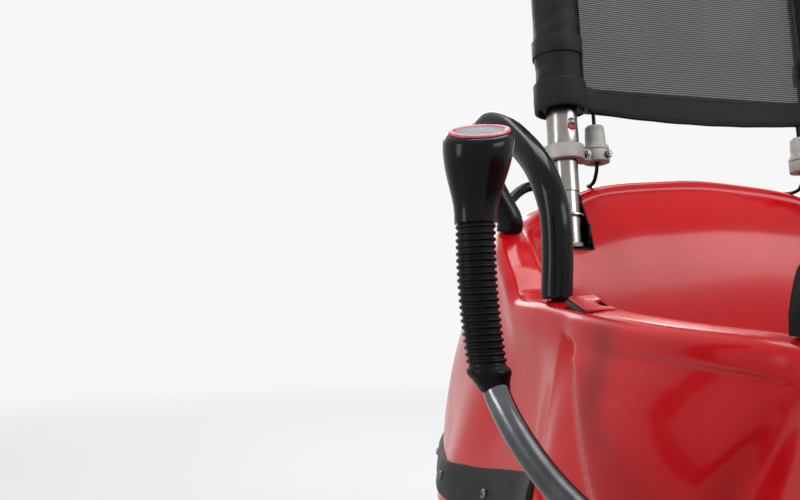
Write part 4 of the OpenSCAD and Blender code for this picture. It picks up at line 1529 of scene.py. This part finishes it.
@dataclass
class Hood:
    """The stanchions and the net hood that leans back from them, in millimetres."""

    clamp_z: float = 684.0
    lean: float = 7.0
    gap: float = 50.0
    side: float = 520.0
    sleeve: float = 66.0
    sleeve_d: float = 40.0
    clamp_h: float = 20.0
    arm: float = 46.0
    net_in: float = 36.1
    hem: float = 32.0
    sag: float = 10.0
    straps: Point = (120.0, 475.0)
    strap_h: float = 24.0
    tuck: float = 5.0
    # width, height and lower edge
    patch: Point = (160.0, 54.0, 535.0)
    cord: float = 5.0
    # the cord's points on the tub's deck, its x from the gland's, and heights along the gland
    cord_foot: tuple[Point, ...] = ((-4, 152, 638.4), (-2, 140, 638.2), (0, 127, 642.5),
                                    (0, 120.8, 654))
    cord_rise: Point = (-20, -8, 14, 32, 40, 44, 47.6)
    billow: float = 7.0

    @property
    def tilt(self) -> float:
        """The lean in radians."""
        return math.radians(self.lean)

    @property
    def place(self) -> Matrix:
        """The hood's own frame, on the clamps' upper faces."""
        return move(0, POST.y, self.clamp_z) @ spin(-self.tilt, "X")

    def at(self, x: float, y: float, z: float) -> Vector:
        """A point of the hood's frame, in metres."""
        return self.place @ Vector((x * MM, y * MM, z * MM))

    def upright(self, x: float, z: float = 0.0) -> Matrix:
        """A place on the hood's own upright."""
        return self.place @ move(x, 0, z)

    @property
    def half(self) -> float:
        """Half the net's width."""
        return POST.x - self.net_in

    def posts(self) -> None:
        """Lower posts with their step and foot disc, bright sleeves and spring balls."""
        Dresser.softened("post_liners", "guard_plastic", width=0.9)
        r, where = POST.d / 2, self.upright(POST.x)
        drop = (self.clamp_z - POST.floor - 7) / math.cos(self.tilt)
        shaft = Maker.turned("shaft", [
            (0.01, -drop), (r, -drop), (r, -96), (r - 0.6, -95.4), (r - 0.6, -94.2), (r, -93.6),
            (r, -62), (r + 1.6, -61), (r + 1.6, -22), (r, -21), (r, 39), (r - 1, 40),
            (0.01, 40)], where)
        ring = Maker.turned("washer", [
            (r + 0.1, -94), (r + 4.4, -94), (r + 5, -93.4), (r + 5, -91.6), (r + 4.4, -91),
            (r + 0.1, -91), (r + 0.1, -94)], where)
        back = (self.clamp_z - POST.floor) * math.tan(self.tilt)
        foot = Maker.turned("foot", [(0.01, 4.3), (r + 2.2, 4.3), (r + 3, 5.1), (r + 3, 9.4),
                                     (r + 2.2, 10.3), (0.01, 10.3)],
                            move(POST.x, POST.y - back, POST.floor))
        lower = Maker.mirrored(Maker.joined("lower_posts_dressed", [shaft, ring, foot]))
        Dresser.finish(lower, "bright_steel", replaces="lower_posts")
        Dresser.softened("upper_sleeves", "chrome_sleeve", width=0.9)
        ball_z = self.gap * 0.56
        out = self.sleeve_d / 2
        side = spin(math.asin(-4 / out), "Z")
        ball = Maker.turned("balls", [(0.01, -2)] + [(5.4 * math.cos(a), 4.6 * math.sin(a))
                                                     for a in (0.0, 0.3, 0.6, 0.9, 1.2, 1.5)],
                            self.upright(POST.x, ball_z) @ side
                            @ move(0, 1.0 - out, 0) @ spin(math.pi / 2, "X"), 24)
        Dresser.finish(Maker.mirrored(ball), "chrome_sleeve", sharp=50)
        dot = Maker.turned("dots", [(0.01, 0), (6, 0), (6, 1.6), (5.4, 2.0), (0.01, 2.0)],
                           self.upright(POST.x, ball_z - 5.6) @ side
                           @ move(0, 1.4 - out, 0) @ spin(math.pi / 2, "X"), 20)
        Dresser.finish(Maker.mirrored(dot), "latch_red")

    def clamps(self) -> None:
        """Cast clamps with their bolts, and the cord glands with flats and a collar."""
        Dresser.softened("post_clamps", "clamp_casting", width=2.2)
        arm = POST.x - self.arm
        spots = [((POST.x - 27, -10.4, -11), (0, -1, 0)),
                 ((arm - 8, -15.6, -12), (0, -1, 0.1))]
        turn = self.place.to_3x3()
        places = [((side * p.x, p.y, p.z), (turn @ Vector(way))[:])
                  for spot, way in spots for p in (self.at(*spot),) for side in (-1, 1)]
        Repeats.stamped("clamp_bolts", places, Fasteners.hexagon(8.5, 5.0, 6.0), "bright_steel")
        low = -self.clamp_h + 4
        profile = [(3.0, low), (7.7, low), (7.7, -3.7), (16.2, -3.7), (17, -2.9), (16.6, 1),
                   (14, 4.4), (13.2, 9), (13.3, 12), (12.9, 20), (12.2, 23.4), (12.6, 24.4),
                   (12.3, 27.4), (11.0, 29.4), (8.2, 30), (3.0, 30), (3.0, low)]
        gland = Maker.turned("cord_glands_dressed", profile, self.upright(arm), 32)
        Dresser.finish(Maker.mirrored(gland), "clamp_casting", replaces="cord_glands", sharp=50)

    def cords(self) -> None:
        """The tether cords from the hem through the glands to the rim."""
        x = POST.x - self.arm
        points = [(x + off, y, z) for off, y, z in self.cord_foot]
        points += [(x, POST.y + z * math.sin(self.tilt), self.clamp_z + z * math.cos(self.tilt))
                   for z in self.cord_rise]
        for name, side in (("left", 1), ("right", -1)):
            line = route([(side * p[0], p[1], p[2]) for p in points], 8)[::-1]
            piece = Maker.tube("tether_cord_" + name, line, self.cord / 2 * MM, 12)
            Dresser.finish(piece, "cord_sheath", replaces="tether_cords", sharp=70)
            length = sum((b - a).length for a, b in zip(line, line[1:]))

    def hoop(self) -> None:
        """The padded sleeve over the hoop, drawn in at its straps and bottom hems."""
        path = [(POST.x, self.gap + 0.3 + self.side * k / 40) for k in range(40)]
        path += [(POST.x * math.cos(a), self.gap + self.side + POST.x * math.sin(a))
                 for a in (k * math.pi / 56 for k in range(57))]
        path += [(-x, z) for x, z in path[39::-1]]
        line = [self.at(x, 0, z) for x, z in path]
        radius = self.sleeve / 2 * MM
        radii = []
        for _, z in path:
            pinch = sum(math.exp(-((z - s - self.strap_h / 2) / 20) ** 2) for s in self.straps)
            end = math.exp(-((z - self.gap - 4) / 7) ** 2)
            radii.append(radius - 0.0030 + 0.0016 * min(1.0, pinch) + 0.0006 * end)
        sleeve = Maker.tube("hood_sleeve_dressed", line, radii, 40, 0.004)
        pinned = [self.at(side * POST.x, 0, s + self.strap_h / 2)
                  for s in self.straps for side in (-1, 1)]
        ends = [line[0], line[-1]]
        Stuffing.puffed(sleeve, 0.0032, 0.0062, pressure=3.0,
                        held=lambda p: any((p - q).length < 0.036 for q in pinned)
                        or any((p - q).length < 0.040 for q in ends))
        self.wrinkle(sleeve)
        Shape(sleeve).subdivide(1).bake()
        Dresser.finish(sleeve, "hood_sleeve", replaces="hood_hoop", sharp=80)
        lane = []
        turn, reach = self.place.to_3x3(), (self.sleeve / 2 - 0.9) * MM
        for x, z in path:
            out = Vector((x, 0, max(0.0, z - self.gap - self.side))).normalized()
            inward = Vector((out.x * -0.72, -0.69, out.z * -0.72))
            lane.append(self.at(x, 0, z) + turn @ inward * reach)
        welt = Maker.tube("hood_sleeve_seam", lane, 0.0013, 8)
        Dresser.finish(welt, "hood_sleeve", sharp=80)

    def wrinkle(self, piece: bpy.types.Object) -> None:
        """Press soft creases into a sleeve, by its own coordinates."""
        top = self.gap + self.side

        def push(p: Vector) -> Vector:
            """The crease at a point."""
            high = p.z - top
            if high < 0:
                away, along = abs(p.x), p.z
                middle = Vector((math.copysign(POST.x, p.x), 0, p.z))
            else:
                away, along = math.hypot(p.x, high), top + POST.x * math.atan2(high, abs(p.x))
                middle = Vector((p.x, 0, high)).normalized() * POST.x + Vector((0, 0, top))
            around = math.atan2(p.y, away - POST.x)
            crease = math.sin(along * 0.21 + 2.1 * math.sin(around * 2 + along * 0.013))
            crease *= max(0.0, math.sin(along * 0.017 + around)) ** 2
            return (p - middle).normalized() * crease * 0.9
        Maker.pushed(piece, self.place, push)

    def net(self) -> None:
        """The stretched net, its hem and its blank patch."""
        half, low = self.half + self.tuck, self.gap + self.hem
        top = self.gap + self.side
        columns, rows = 64, 96
        points, flat = [], []
        for i in range(columns + 1):
            x = half * -math.cos(math.pi * i / columns)
            high = top + math.sqrt(max(0.0, half * half - x * x))
            for j in range(rows + 1):
                z = mix(low - 3, high, j / rows)
                share = (1 - (x / half) ** 2) * math.sin(math.pi * j / rows)
                points.append(self.at(x, self.billow * share, z))
                flat.append((x * MM, z * MM))
        faces = [(i * (rows + 1) + j, (i + 1) * (rows + 1) + j, (i + 1) * (rows + 1) + j + 1,
                  i * (rows + 1) + j + 1) for i in range(columns) for j in range(rows)]
        net = Maker.mesh("hood_net_dressed", points, faces)
        layer = net.data.uv_layers.new(name="flat")
        for loop in net.data.loops:
            layer.data[loop.index].uv = flat[loop.vertex_index]
        Dresser.finish(net, "hood_mesh", replaces="hood_net", sharp=80)
        hem = self.hem_band()
        patch = self.patch_piece()
        area = (2 * half * (top - low + 3) + math.pi * half * half / 2) * MM * MM

    def hem_line(self, x: float, half: float) -> tuple[float, float]:
        """Height and sway of the hem's lower edge, at a place across its half width."""
        slack = 1 - (x / half) ** 2
        return self.gap - self.sag * slack, 0.7 * math.sin(x * 0.11) * slack

    def hem_band(self) -> bpy.types.Object:
        """The hem under the net, which sags in its middle.

        Returns:
            The hem.
        """
        half, count = self.half + 21, 90
        rings = []
        for i in range(count + 1):
            x = half * -math.cos(math.pi * i / count)
            near = math.exp(-(half - abs(x)) / 16)
            low, wave = self.hem_line(x, half)
            low, high = low - 2.5 * near, self.gap + self.hem + 2 * near
            ring = []
            for k in range(20):
                a = k * math.tau / 20
                thick = (3.4 + 25 * near) * math.copysign(abs(math.sin(a)) ** 0.5, math.sin(a))
                ring.append(self.at(x, wave + thick, mix(low, high, 0.5 + 0.5 * math.cos(a))))
            rings.append(ring)
        middle = Maker.loft("middle", rings)
        r, low, high = self.sleeve / 2, self.gap - 3.5, self.gap + self.hem + 3
        cuff = Maker.turned("cuff", [
            (r - 2.5, low + 0.8), (r - 1, low), (r + 0.6, low + 0.3), (r + 1.3, low + 2),
            (r + 1.7, mix(low, high, 0.4)), (r + 1.2, mix(low, high, 0.7)), (r + 1.3, high - 2.5),
            (r + 0.7, high - 0.6), (r - 1, high), (r - 3, high - 1), (r - 2.8, mix(low, high, 0.5)),
            (r - 2.5, low + 0.8)], self.upright(POST.x), 64)
        band = Maker.joined("hood_hem_dressed", [middle, Maker.mirrored(cuff)])
        Dresser.finish(band, "hood_sleeve", replaces="hood_hem", sharp=70)
        places = []
        for share in (0.14, 0.84):
            for x in (mix(-half + 5, half - 5, i / 55) for i in range(56)):
                low, wave = self.hem_line(x, half)
                z = mix(low, self.gap + self.hem, share)
                thick = 3.3 + 24.5 * math.exp(-(half - abs(x)) / 16)
                if half - abs(x) > 32:
                    places += [(tuple(self.at(x, wave + face * thick, z)), (1.0, 0.0, 0.02))
                               for face in (-1, 1)]
        stitch = Maker.tube("stitch", [(0, 0, -0.0017), (0, 0, 0.0017)], 0.00042, 6, 0.0003)
        Repeats.stamped("hem_stitches", places, stitch, "cord_sheath")
        return band

    def patch_piece(self) -> bpy.types.Object:
        """The blank patch sewn to the net's front.

        Returns:
            The patch.
        """
        wide, high, low = self.patch
        piece = Maker.block("hood_patch_dressed", (-wide / 2, -3.8, low),
                            (wide / 2, -1.8, low + high), self.place, 0.9)
        Dresser.finish(piece, "hood_sleeve", replaces="hood_patch", sharp=60)
        row = [mix(-wide / 2 + 4, wide / 2 - 4, i / 25) for i in range(26)]
        places = [(tuple(self.at(x, -3.9, z)), (1.0, 0.0, 0.0))
                  for x in row for z in (low + 4, low + high - 4)]
        stitch = Maker.tube("stitch", [(0, 0, -0.0018), (0, 0, 0.0018)], 0.0004, 6, 0.0003)
        Repeats.stamped("patch_stitches", places, stitch, "cord_sheath")
        return piece

    def strap_bands(self) -> None:
        """The flat straps round the sleeve, sewn on with an overlap at the back."""
        parts = []
        inner = self.sleeve / 2 - 1.8
        for z in self.straps:
            where = self.upright(POST.x, z)
            h = self.strap_h
            parts.append(Maker.turned("strap", [
                (inner, 0.6), (inner + 0.4, 0), (inner + 1.5, 0), (inner + 1.9, 0.8),
                (inner + 1.9, h - 0.8), (inner + 1.5, h), (inner + 0.4, h), (inner, h - 0.6),
                (inner, 0.6)], where, 64))
            parts.append(Maker.block("tongue", (-16, inner + 0.6, 1.6), (14, inner + 3.0, h - 1.6),
                                     where, 1.2))
        bands = Maker.mirrored(Maker.joined("hood_straps_dressed", parts))
        Dresser.finish(bands, "hood_sleeve", replaces="hood_straps", sharp=50)

    def build(self) -> None:
        """Build the hood and what carries it."""
        self.posts()
        self.clamps()
        self.cords()
        self.hoop()
        self.net()
        self.strap_bands()


@dataclass
class Levers:
    """The brake levers on their shaft, in millimetres."""

    body: str = "levers"
    tube: float = 20.0
    # the left tube from the shaft to the grip
    run: tuple[Point, ...] = (
        (316.3, -620, 225), (325, -620, 225), (334, -620, 225), (354, -612, 232),
        (376, -590, 254), (398, -545, 286), (424, -470, 318), (436.5, -410, 338),
        (445, -366, 355), (450, -336, 370.5), (454.4, -311, 388), (457.8, -293, 405),
        (460.6, -282, 421))
    grip: Point = (461.5, -277.5, 417.5)
    # turns about X and Y, in degrees
    lean: Point = (-2.3, 1.7)
    grip_d: float = 31.0
    collar: float = 16.0
    low: float = 1.8
    ribs: int = 21
    pitch: float = 5.1
    # width at the top, and height
    knob: Point = (56.0, 72.0)
    bow: float = 6.2
    bow_long: float = 185.0
    # lean across and along at the grip's foot, and the height at which it ends
    foot_lean: Point = (-1.6, -4.6, 26.0)
    # slope of the knob's top, and its direction across and along
    slant: Point = (0.42, -0.3, 0.95)

    @property
    def place(self) -> Matrix:
        """The left grip's own frame."""
        return (move(*self.grip) @ spin(math.radians(self.lean[1]), "Y")
                @ spin(math.radians(self.lean[0]), "X"))

    @property
    def top(self) -> float:
        """Height of the grip's upper end, where the knob begins."""
        return self.low + self.collar + self.ribs * self.pitch

    def bent(self, piece: bpy.types.Object) -> bpy.types.Object:
        """Bend a straight piece along the lever's own curve.

        Args:
            piece: A piece built on the left grip's frame.

        Returns:
            The same piece, bowed outwards and leaning with the tube at its foot.
        """
        across, along, reach = self.foot_lean

        def push(p: Vector) -> Vector:
            """The bow and the lean at a point."""
            lean = max(0.0, 1 - p.z / reach) ** 2
            bow = self.bow * math.sin(math.pi * p.z / self.bow_long)
            return Vector((bow + across * lean, along * lean, 0))
        return Maker.pushed(piece, self.place, push)

    def slanted(self, piece: bpy.types.Object) -> bpy.types.Object:
        """Tilt the top of a knob's piece forwards and outwards.

        Args:
            piece: A piece built on the left grip's frame.

        Returns:
            The same piece, sheared more and more towards the knob's top.
        """
        slope, across, along = self.slant

        def push(p: Vector) -> Vector:
            """The lift at a point."""
            t = min(1.0, max(0.0, (p.z - self.top) / self.knob[1] - 0.42) / 0.58)
            return Vector((0, 0, slope * (p.x * across + p.y * along) * smooth(t) - 0.6 * t))
        return Maker.pushed(piece, self.place, push)

    def tubes(self) -> None:
        """The bent tubes."""
        line = route(self.run, 8)
        bar = Maker.tube("lever_tubes_dressed", line, self.tube / 2 * MM, 28)
        # the lever tubes wear the darker copy of the steel, a painted shade for the dark
        # surroundings that they reflect
        Dresser.finish(Maker.mirrored(bar), "bright_steel", self.body, "lever_tubes", 60,
                       "lever_steel")

    def grips(self) -> None:
        """Ribbed grips with a collar at the foot."""
        r, low, top = self.grip_d / 2, self.low, self.top
        core = Maker.turned("core", [
            (0.01, low - 5), (r - 5, low - 5), (r - 4.2, low - 4.2), (r - 2.6, low + 1),
            (r - 0.4, low + 5.6), (r + 0.9, low + 7.6), (r + 1.5, low + 9.4), (r + 1.4, low + 11.4),
            (r + 0.6, low + 13), (r - 0.9, low + 14), (r - 1.5, low + self.collar)]
            + [(r - 1.6, mix(low + self.collar, top, k / 12)) for k in range(1, 13)]
            + [(0.01, top)], self.place)
        ribs = Repeats.ribs("ribs", self.ribs, self.pitch * MM, (r - 1.6) * MM, 0.0017,
                            "grip_rubber")
        lift = self.place @ move(0, 0, low + self.collar + self.pitch * 0.5)
        for vert in ribs.data.vertices:
            vert.co = lift @ vert.co
        grip = Maker.mirrored(self.bent(Maker.joined("lever_grips_dressed", [core, ribs])))
        Dresser.finish(grip, "grip_rubber", self.body, "lever_grips", 50)

    def topped(self, name: str, profile: Sequence[Point], slot: str, replaces: str = "",
               sharp: float = 50.0) -> None:
        """Turn, slant, bend and mirror a piece of the knobs, and finish it.

        Args:
            name: Name of the piece.
            profile: Its radii and heights.
            slot: The slot whose finish it gets.
            replaces: The node that it stands for.
            sharp: Angle in degrees past which an edge stays sharp.
        """
        piece = self.bent(self.slanted(Maker.turned(name, profile, self.place, 64)))
        Dresser.finish(Maker.mirrored(piece), slot, self.body, replaces, sharp)

    def knobs(self) -> None:
        """Glossy flared knobs with a pale ring round a blank disc."""
        top_d, high = self.knob
        r, n = top_d / 2, self.grip_d / 2 + 1
        z = self.top + 0.3
        shares = [(0.0, 0.0), (0.05, 0.0), (0.12, 0.02), (0.2, 0.09), (0.28, 0.2), (0.36, 0.34),
                  (0.45, 0.5), (0.54, 0.66), (0.62, 0.78), (0.7, 0.88), (0.78, 0.95), (0.86, 1.0),
                  (0.92, 1.0)]
        profile = [(0.01, z)] + [(mix(n, r, out), z + high * up) for up, out in shares]
        profile += [(r - 0.5, z + high * 0.955), (r - 1.6, z + high * 0.98), (r - 3.4, z + high),
                    (0.01, z + high)]
        self.topped("lever_knobs_dressed", profile, "knob_plastic", "lever_knobs", 55)
        t = z + high + 0.3
        self.topped("knob_rings_dressed", [
            (r - 8.2, t), (r - 3.6, t), (r - 3.4, t + 0.9), (r - 4.2, t + 1.7), (r - 6.6, t + 1.8),
            (r - 7.8, t + 1.2), (r - 8.2, t)], "ring_pink", "knob_rings")
        self.topped("knob_discs", [(0.01, t), (r - 8, t), (r - 8, t + 0.8), (0.01, t + 1.0)],
                    "pad_vinyl")

    def build(self) -> None:
        """Build the levers."""
        Dresser.softened("brake_shaft", "bright_steel", self.body, 1.2)
        Dresser.softened("brake_arms", "frame_paint", self.body, 1.4)
        self.tubes()
        self.grips()
        self.knobs()


@dataclass
class RunningGear:
    """Chassis, carriers, wheels and guide rollers, in millimetres."""

    rail_x: float = 210.0
    axles: Point = (-460.0, 470.0)
    wheel_z: float = 179.0
    # diameter, width and depth of the tread
    wheel: Point = (110.0, 40.0, 14.0)
    side_x: float = 159.0
    under_z: float = 49.0
    rail_z: float = 100.0
    # diameter, width and bore
    roller: Point = (50.0, 26.0, 12.0)
    beam_x: float = 95.0
    beam_w: float = 40.0
    # carrier bolts: height, and distance from the axle each way
    carrier_bolts: Point = (228.0, 22.0)
    # hub bolts: number, and radius of their circle
    hub_bolts: tuple[int, float] = (5, 20.0)

    def frame_parts(self) -> None:
        """Beams, carriers, pins and towing eye with softened edges, and their bolts."""
        for node, slot, width in (
                ("chassis", "frame_paint", 2.0), ("wheel_carriers", "frame_paint", 1.6),
                ("guide_pins", "bright_steel", 0.8), ("tow_lug", "frame_paint", 1.6)):
            Dresser.softened(node, slot, width=width)
        x = (self.beam_x + self.beam_w / 2 + 12) * MM
        z, apart = self.carrier_bolts
        places = [((side * x, (y + dy) * MM, z * MM), (side, 0, 0))
                  for y in self.axles for dy in (-apart, apart) for side in (-1, 1)]
        Repeats.stamped("carrier_bolts", places, Fasteners.hexagon(15, 9, 11), "bright_steel")

    def wheels(self) -> None:
        """Wheelsets with hub bolts, and their rounded treads."""
        d, w, deep = self.wheel
        r = d / 2
        profile = Maker.even([(r - deep + 0.1, -w / 2), (r - 4, -w / 2), (r - 1.2, -w / 2 + 1.2),
                              (r, -w / 2 + 4)])
        count, circle = self.hub_bolts
        for name, y in (("front", self.axles[0]), ("rear", self.axles[1])):
            body = name + "_axle"
            Dresser.softened(name + "_wheelset", "wheel_alloy", body, 1.0)
            where = move(self.rail_x, y, self.wheel_z) @ spin(math.pi / 2, "Y")
            tread = Maker.mirrored(Maker.turned(name + "_treads", profile, where, 44))
            Dresser.finish(tread, "wheel_tread", body, name + "_tyres", 35)
            angles = [k * math.tau / count + 0.3 for k in range(count)]
            places = [((side * (self.rail_x + w / 2 - 12) * MM, (y + circle * math.cos(a)) * MM,
                        (self.wheel_z + circle * math.sin(a)) * MM), (side, 0, 0))
                      for a in angles for side in (-1, 1)]
            Repeats.stamped(name + "_hub_bolts", places, Fasteners.hexagon(7, 5, 5),
                            "bright_steel", body)

    def rollers(self) -> None:
        """The eight guide rollers, each on its own body."""
        d, w, pin = self.roller
        r, bore = d / 2, pin / 2 + 0.2
        profile = Maker.even([
            (bore, -w / 2), (bore + 3, -w / 2), (bore + 3.6, -w / 2 + 2.4),
            (r - 7.4, -w / 2 + 2.4), (r - 7, -w / 2), (r - 3, -w / 2), (r - 0.8, -w / 2 + 0.9),
            (r, -w / 2 + 3)])
        corners = [(side, y) for y in self.axles for side in (1, -1)]
        for number, (side, y) in enumerate(corners, 1):
            upright = move(side * self.side_x, y, self.rail_z)
            lying = move(side * self.rail_x, y, self.under_z) @ spin(math.pi / 2, "Y")
            for kind, where in (("side", upright), ("under", lying)):
                node = f"{kind}_roller_{number}"
                piece = Maker.turned(node + "_dressed", profile, where, 40)
                Dresser.finish(piece, "roller_tread", node, node, 35)

    def build(self) -> None:
        """Build the running gear."""
        self.frame_parts()
        self.wheels()
        self.rollers()


@dataclass
class Studio:
    """Pale floor, soft light and the photograph's viewpoint."""

    near: float = 0.72
    far: float = 0.93
    bounce: float = 0.38
    sky: Colour = (0.97, 0.98, 1.0)
    sky_power: float = 0.55
    backdrop: Colour = (0.93, 0.93, 0.93)
    eye: Point = (-0.7, -0.9, 0.48)
    # tilt up from straight down and turn to the side, in degrees
    look: Point = (93.6, -15.1)
    lens: float = 39.15
    # name, place, aim, width, height, power
    lamps: tuple[tuple[str, Point, Point, float, float, float], ...] = (
        ("key_above", (0.3, 0.5, 3.0), (0, -0.1, 0.5), 1.5, 1.5, 40),
        ("rear_sky", (0.4, 3.4, 2.3), (0, 0, 0.6), 3.4, 0.9, 44),
        ("left_window", (-3.0, -0.5, 1.5), (0, -0.2, 0.45), 0.7, 2.0, 30),
        ("front_sky", (1.8, -2.2, 1.9), (0, 0.1, 0.5), 1.9, 1.1, 46))

    def material(self) -> bpy.types.Material:
        """The floor: pale to look at, fading to white far off, with a modest bounce of light.

        Returns:
            The finished material.
        """
        net = Net(bpy.data.materials.new("stage_floor"))
        reach = net.add("ShaderNodeVectorMath", {"operation": "LENGTH"}, {0: net.place()}, 1)
        pale = net.add("ShaderNodeBsdfDiffuse", {}, {0: (self.near,) * 3})
        white = net.add("ShaderNodeEmission", {}, {0: (self.far,) * 3, 1: 1.0})
        shown = net.add("ShaderNodeMixShader", {}, {0: reach.ramp(1.3, 4.5), 1: pale, 2: white})
        dim = net.add("ShaderNodeBsdfDiffuse", {}, {0: (self.bounce,) * 3})
        return net.end(net.add("ShaderNodeMixShader", {}, {0: self.seen(net), 1: dim, 2: shown}))

    @staticmethod
    def seen(net: Net) -> Wire:
        """1 for rays from the camera, a reflection or a refraction, and 0 for others."""
        rays = [net.add("ShaderNodeLightPath", out=k) for k in (0, 3, 6)]
        return rays[0].maths("MAXIMUM", rays[1]).maths("MAXIMUM", rays[2])

    def floor(self) -> None:
        """The floor under the car."""
        plane = Maker.mesh("stage_floor", [(-30, -30, 0), (30, -30, 0), (30, 40, 0), (-30, 40, 0)],
                           [(0, 1, 2, 3)])
        plane.data.materials.append(self.material())

    def light(self) -> None:
        """The sky and the lamps."""
        net = Net(bpy.data.worlds.new("studio"))
        dim = net.add("ShaderNodeBackground", {}, {0: self.sky, 1: self.sky_power})
        shown = net.add("ShaderNodeBackground", {}, {0: self.backdrop, 1: 1.0})
        both = net.add("ShaderNodeMixShader", {}, {0: self.seen(net), 1: dim, 2: shown})
        bpy.context.scene.world = net.end(both, "ShaderNodeOutputWorld")
        for name, place, aim, wide, high, power in self.lamps:
            lamp = bpy.data.lights.new(name, "AREA")
            lamp.shape = "RECTANGLE"
            lamp.size, lamp.size_y, lamp.energy = wide, high, power
            thing = Maker.placed(name, lamp)
            thing.location = place
            aimed = (Vector(aim) - Vector(place)).to_track_quat("-Z", "Y")
            thing.rotation_euler = aimed.to_euler()

    def camera(self) -> None:
        """The camera at the photograph's angle."""
        data = bpy.data.cameras.new("camera")
        data.sensor_width = 36.0
        data.lens = self.lens
        eye = Maker.placed("camera", data)
        eye.location = self.eye
        tilt, turn = self.look
        eye.rotation_euler = (math.radians(tilt), 0.0, math.radians(turn))
        bpy.context.scene.camera = eye

    def build(self) -> None:
        """Set up the studio."""
        bpy.context.scene.view_settings.view_transform = "Standard"
        self.camera()
        self.floor()
        self.light()


def main() -> None:
    """Build the car in order and report each piece."""
    logging.basicConfig(level=logging.INFO, format="%(name)s: %(message)s")
    Studio().build()
    for group in (Hood(), Tub(), Seat(), Trim(), Levers(), RunningGear()):
        group.build()


if __name__ == "__main__":
    main()
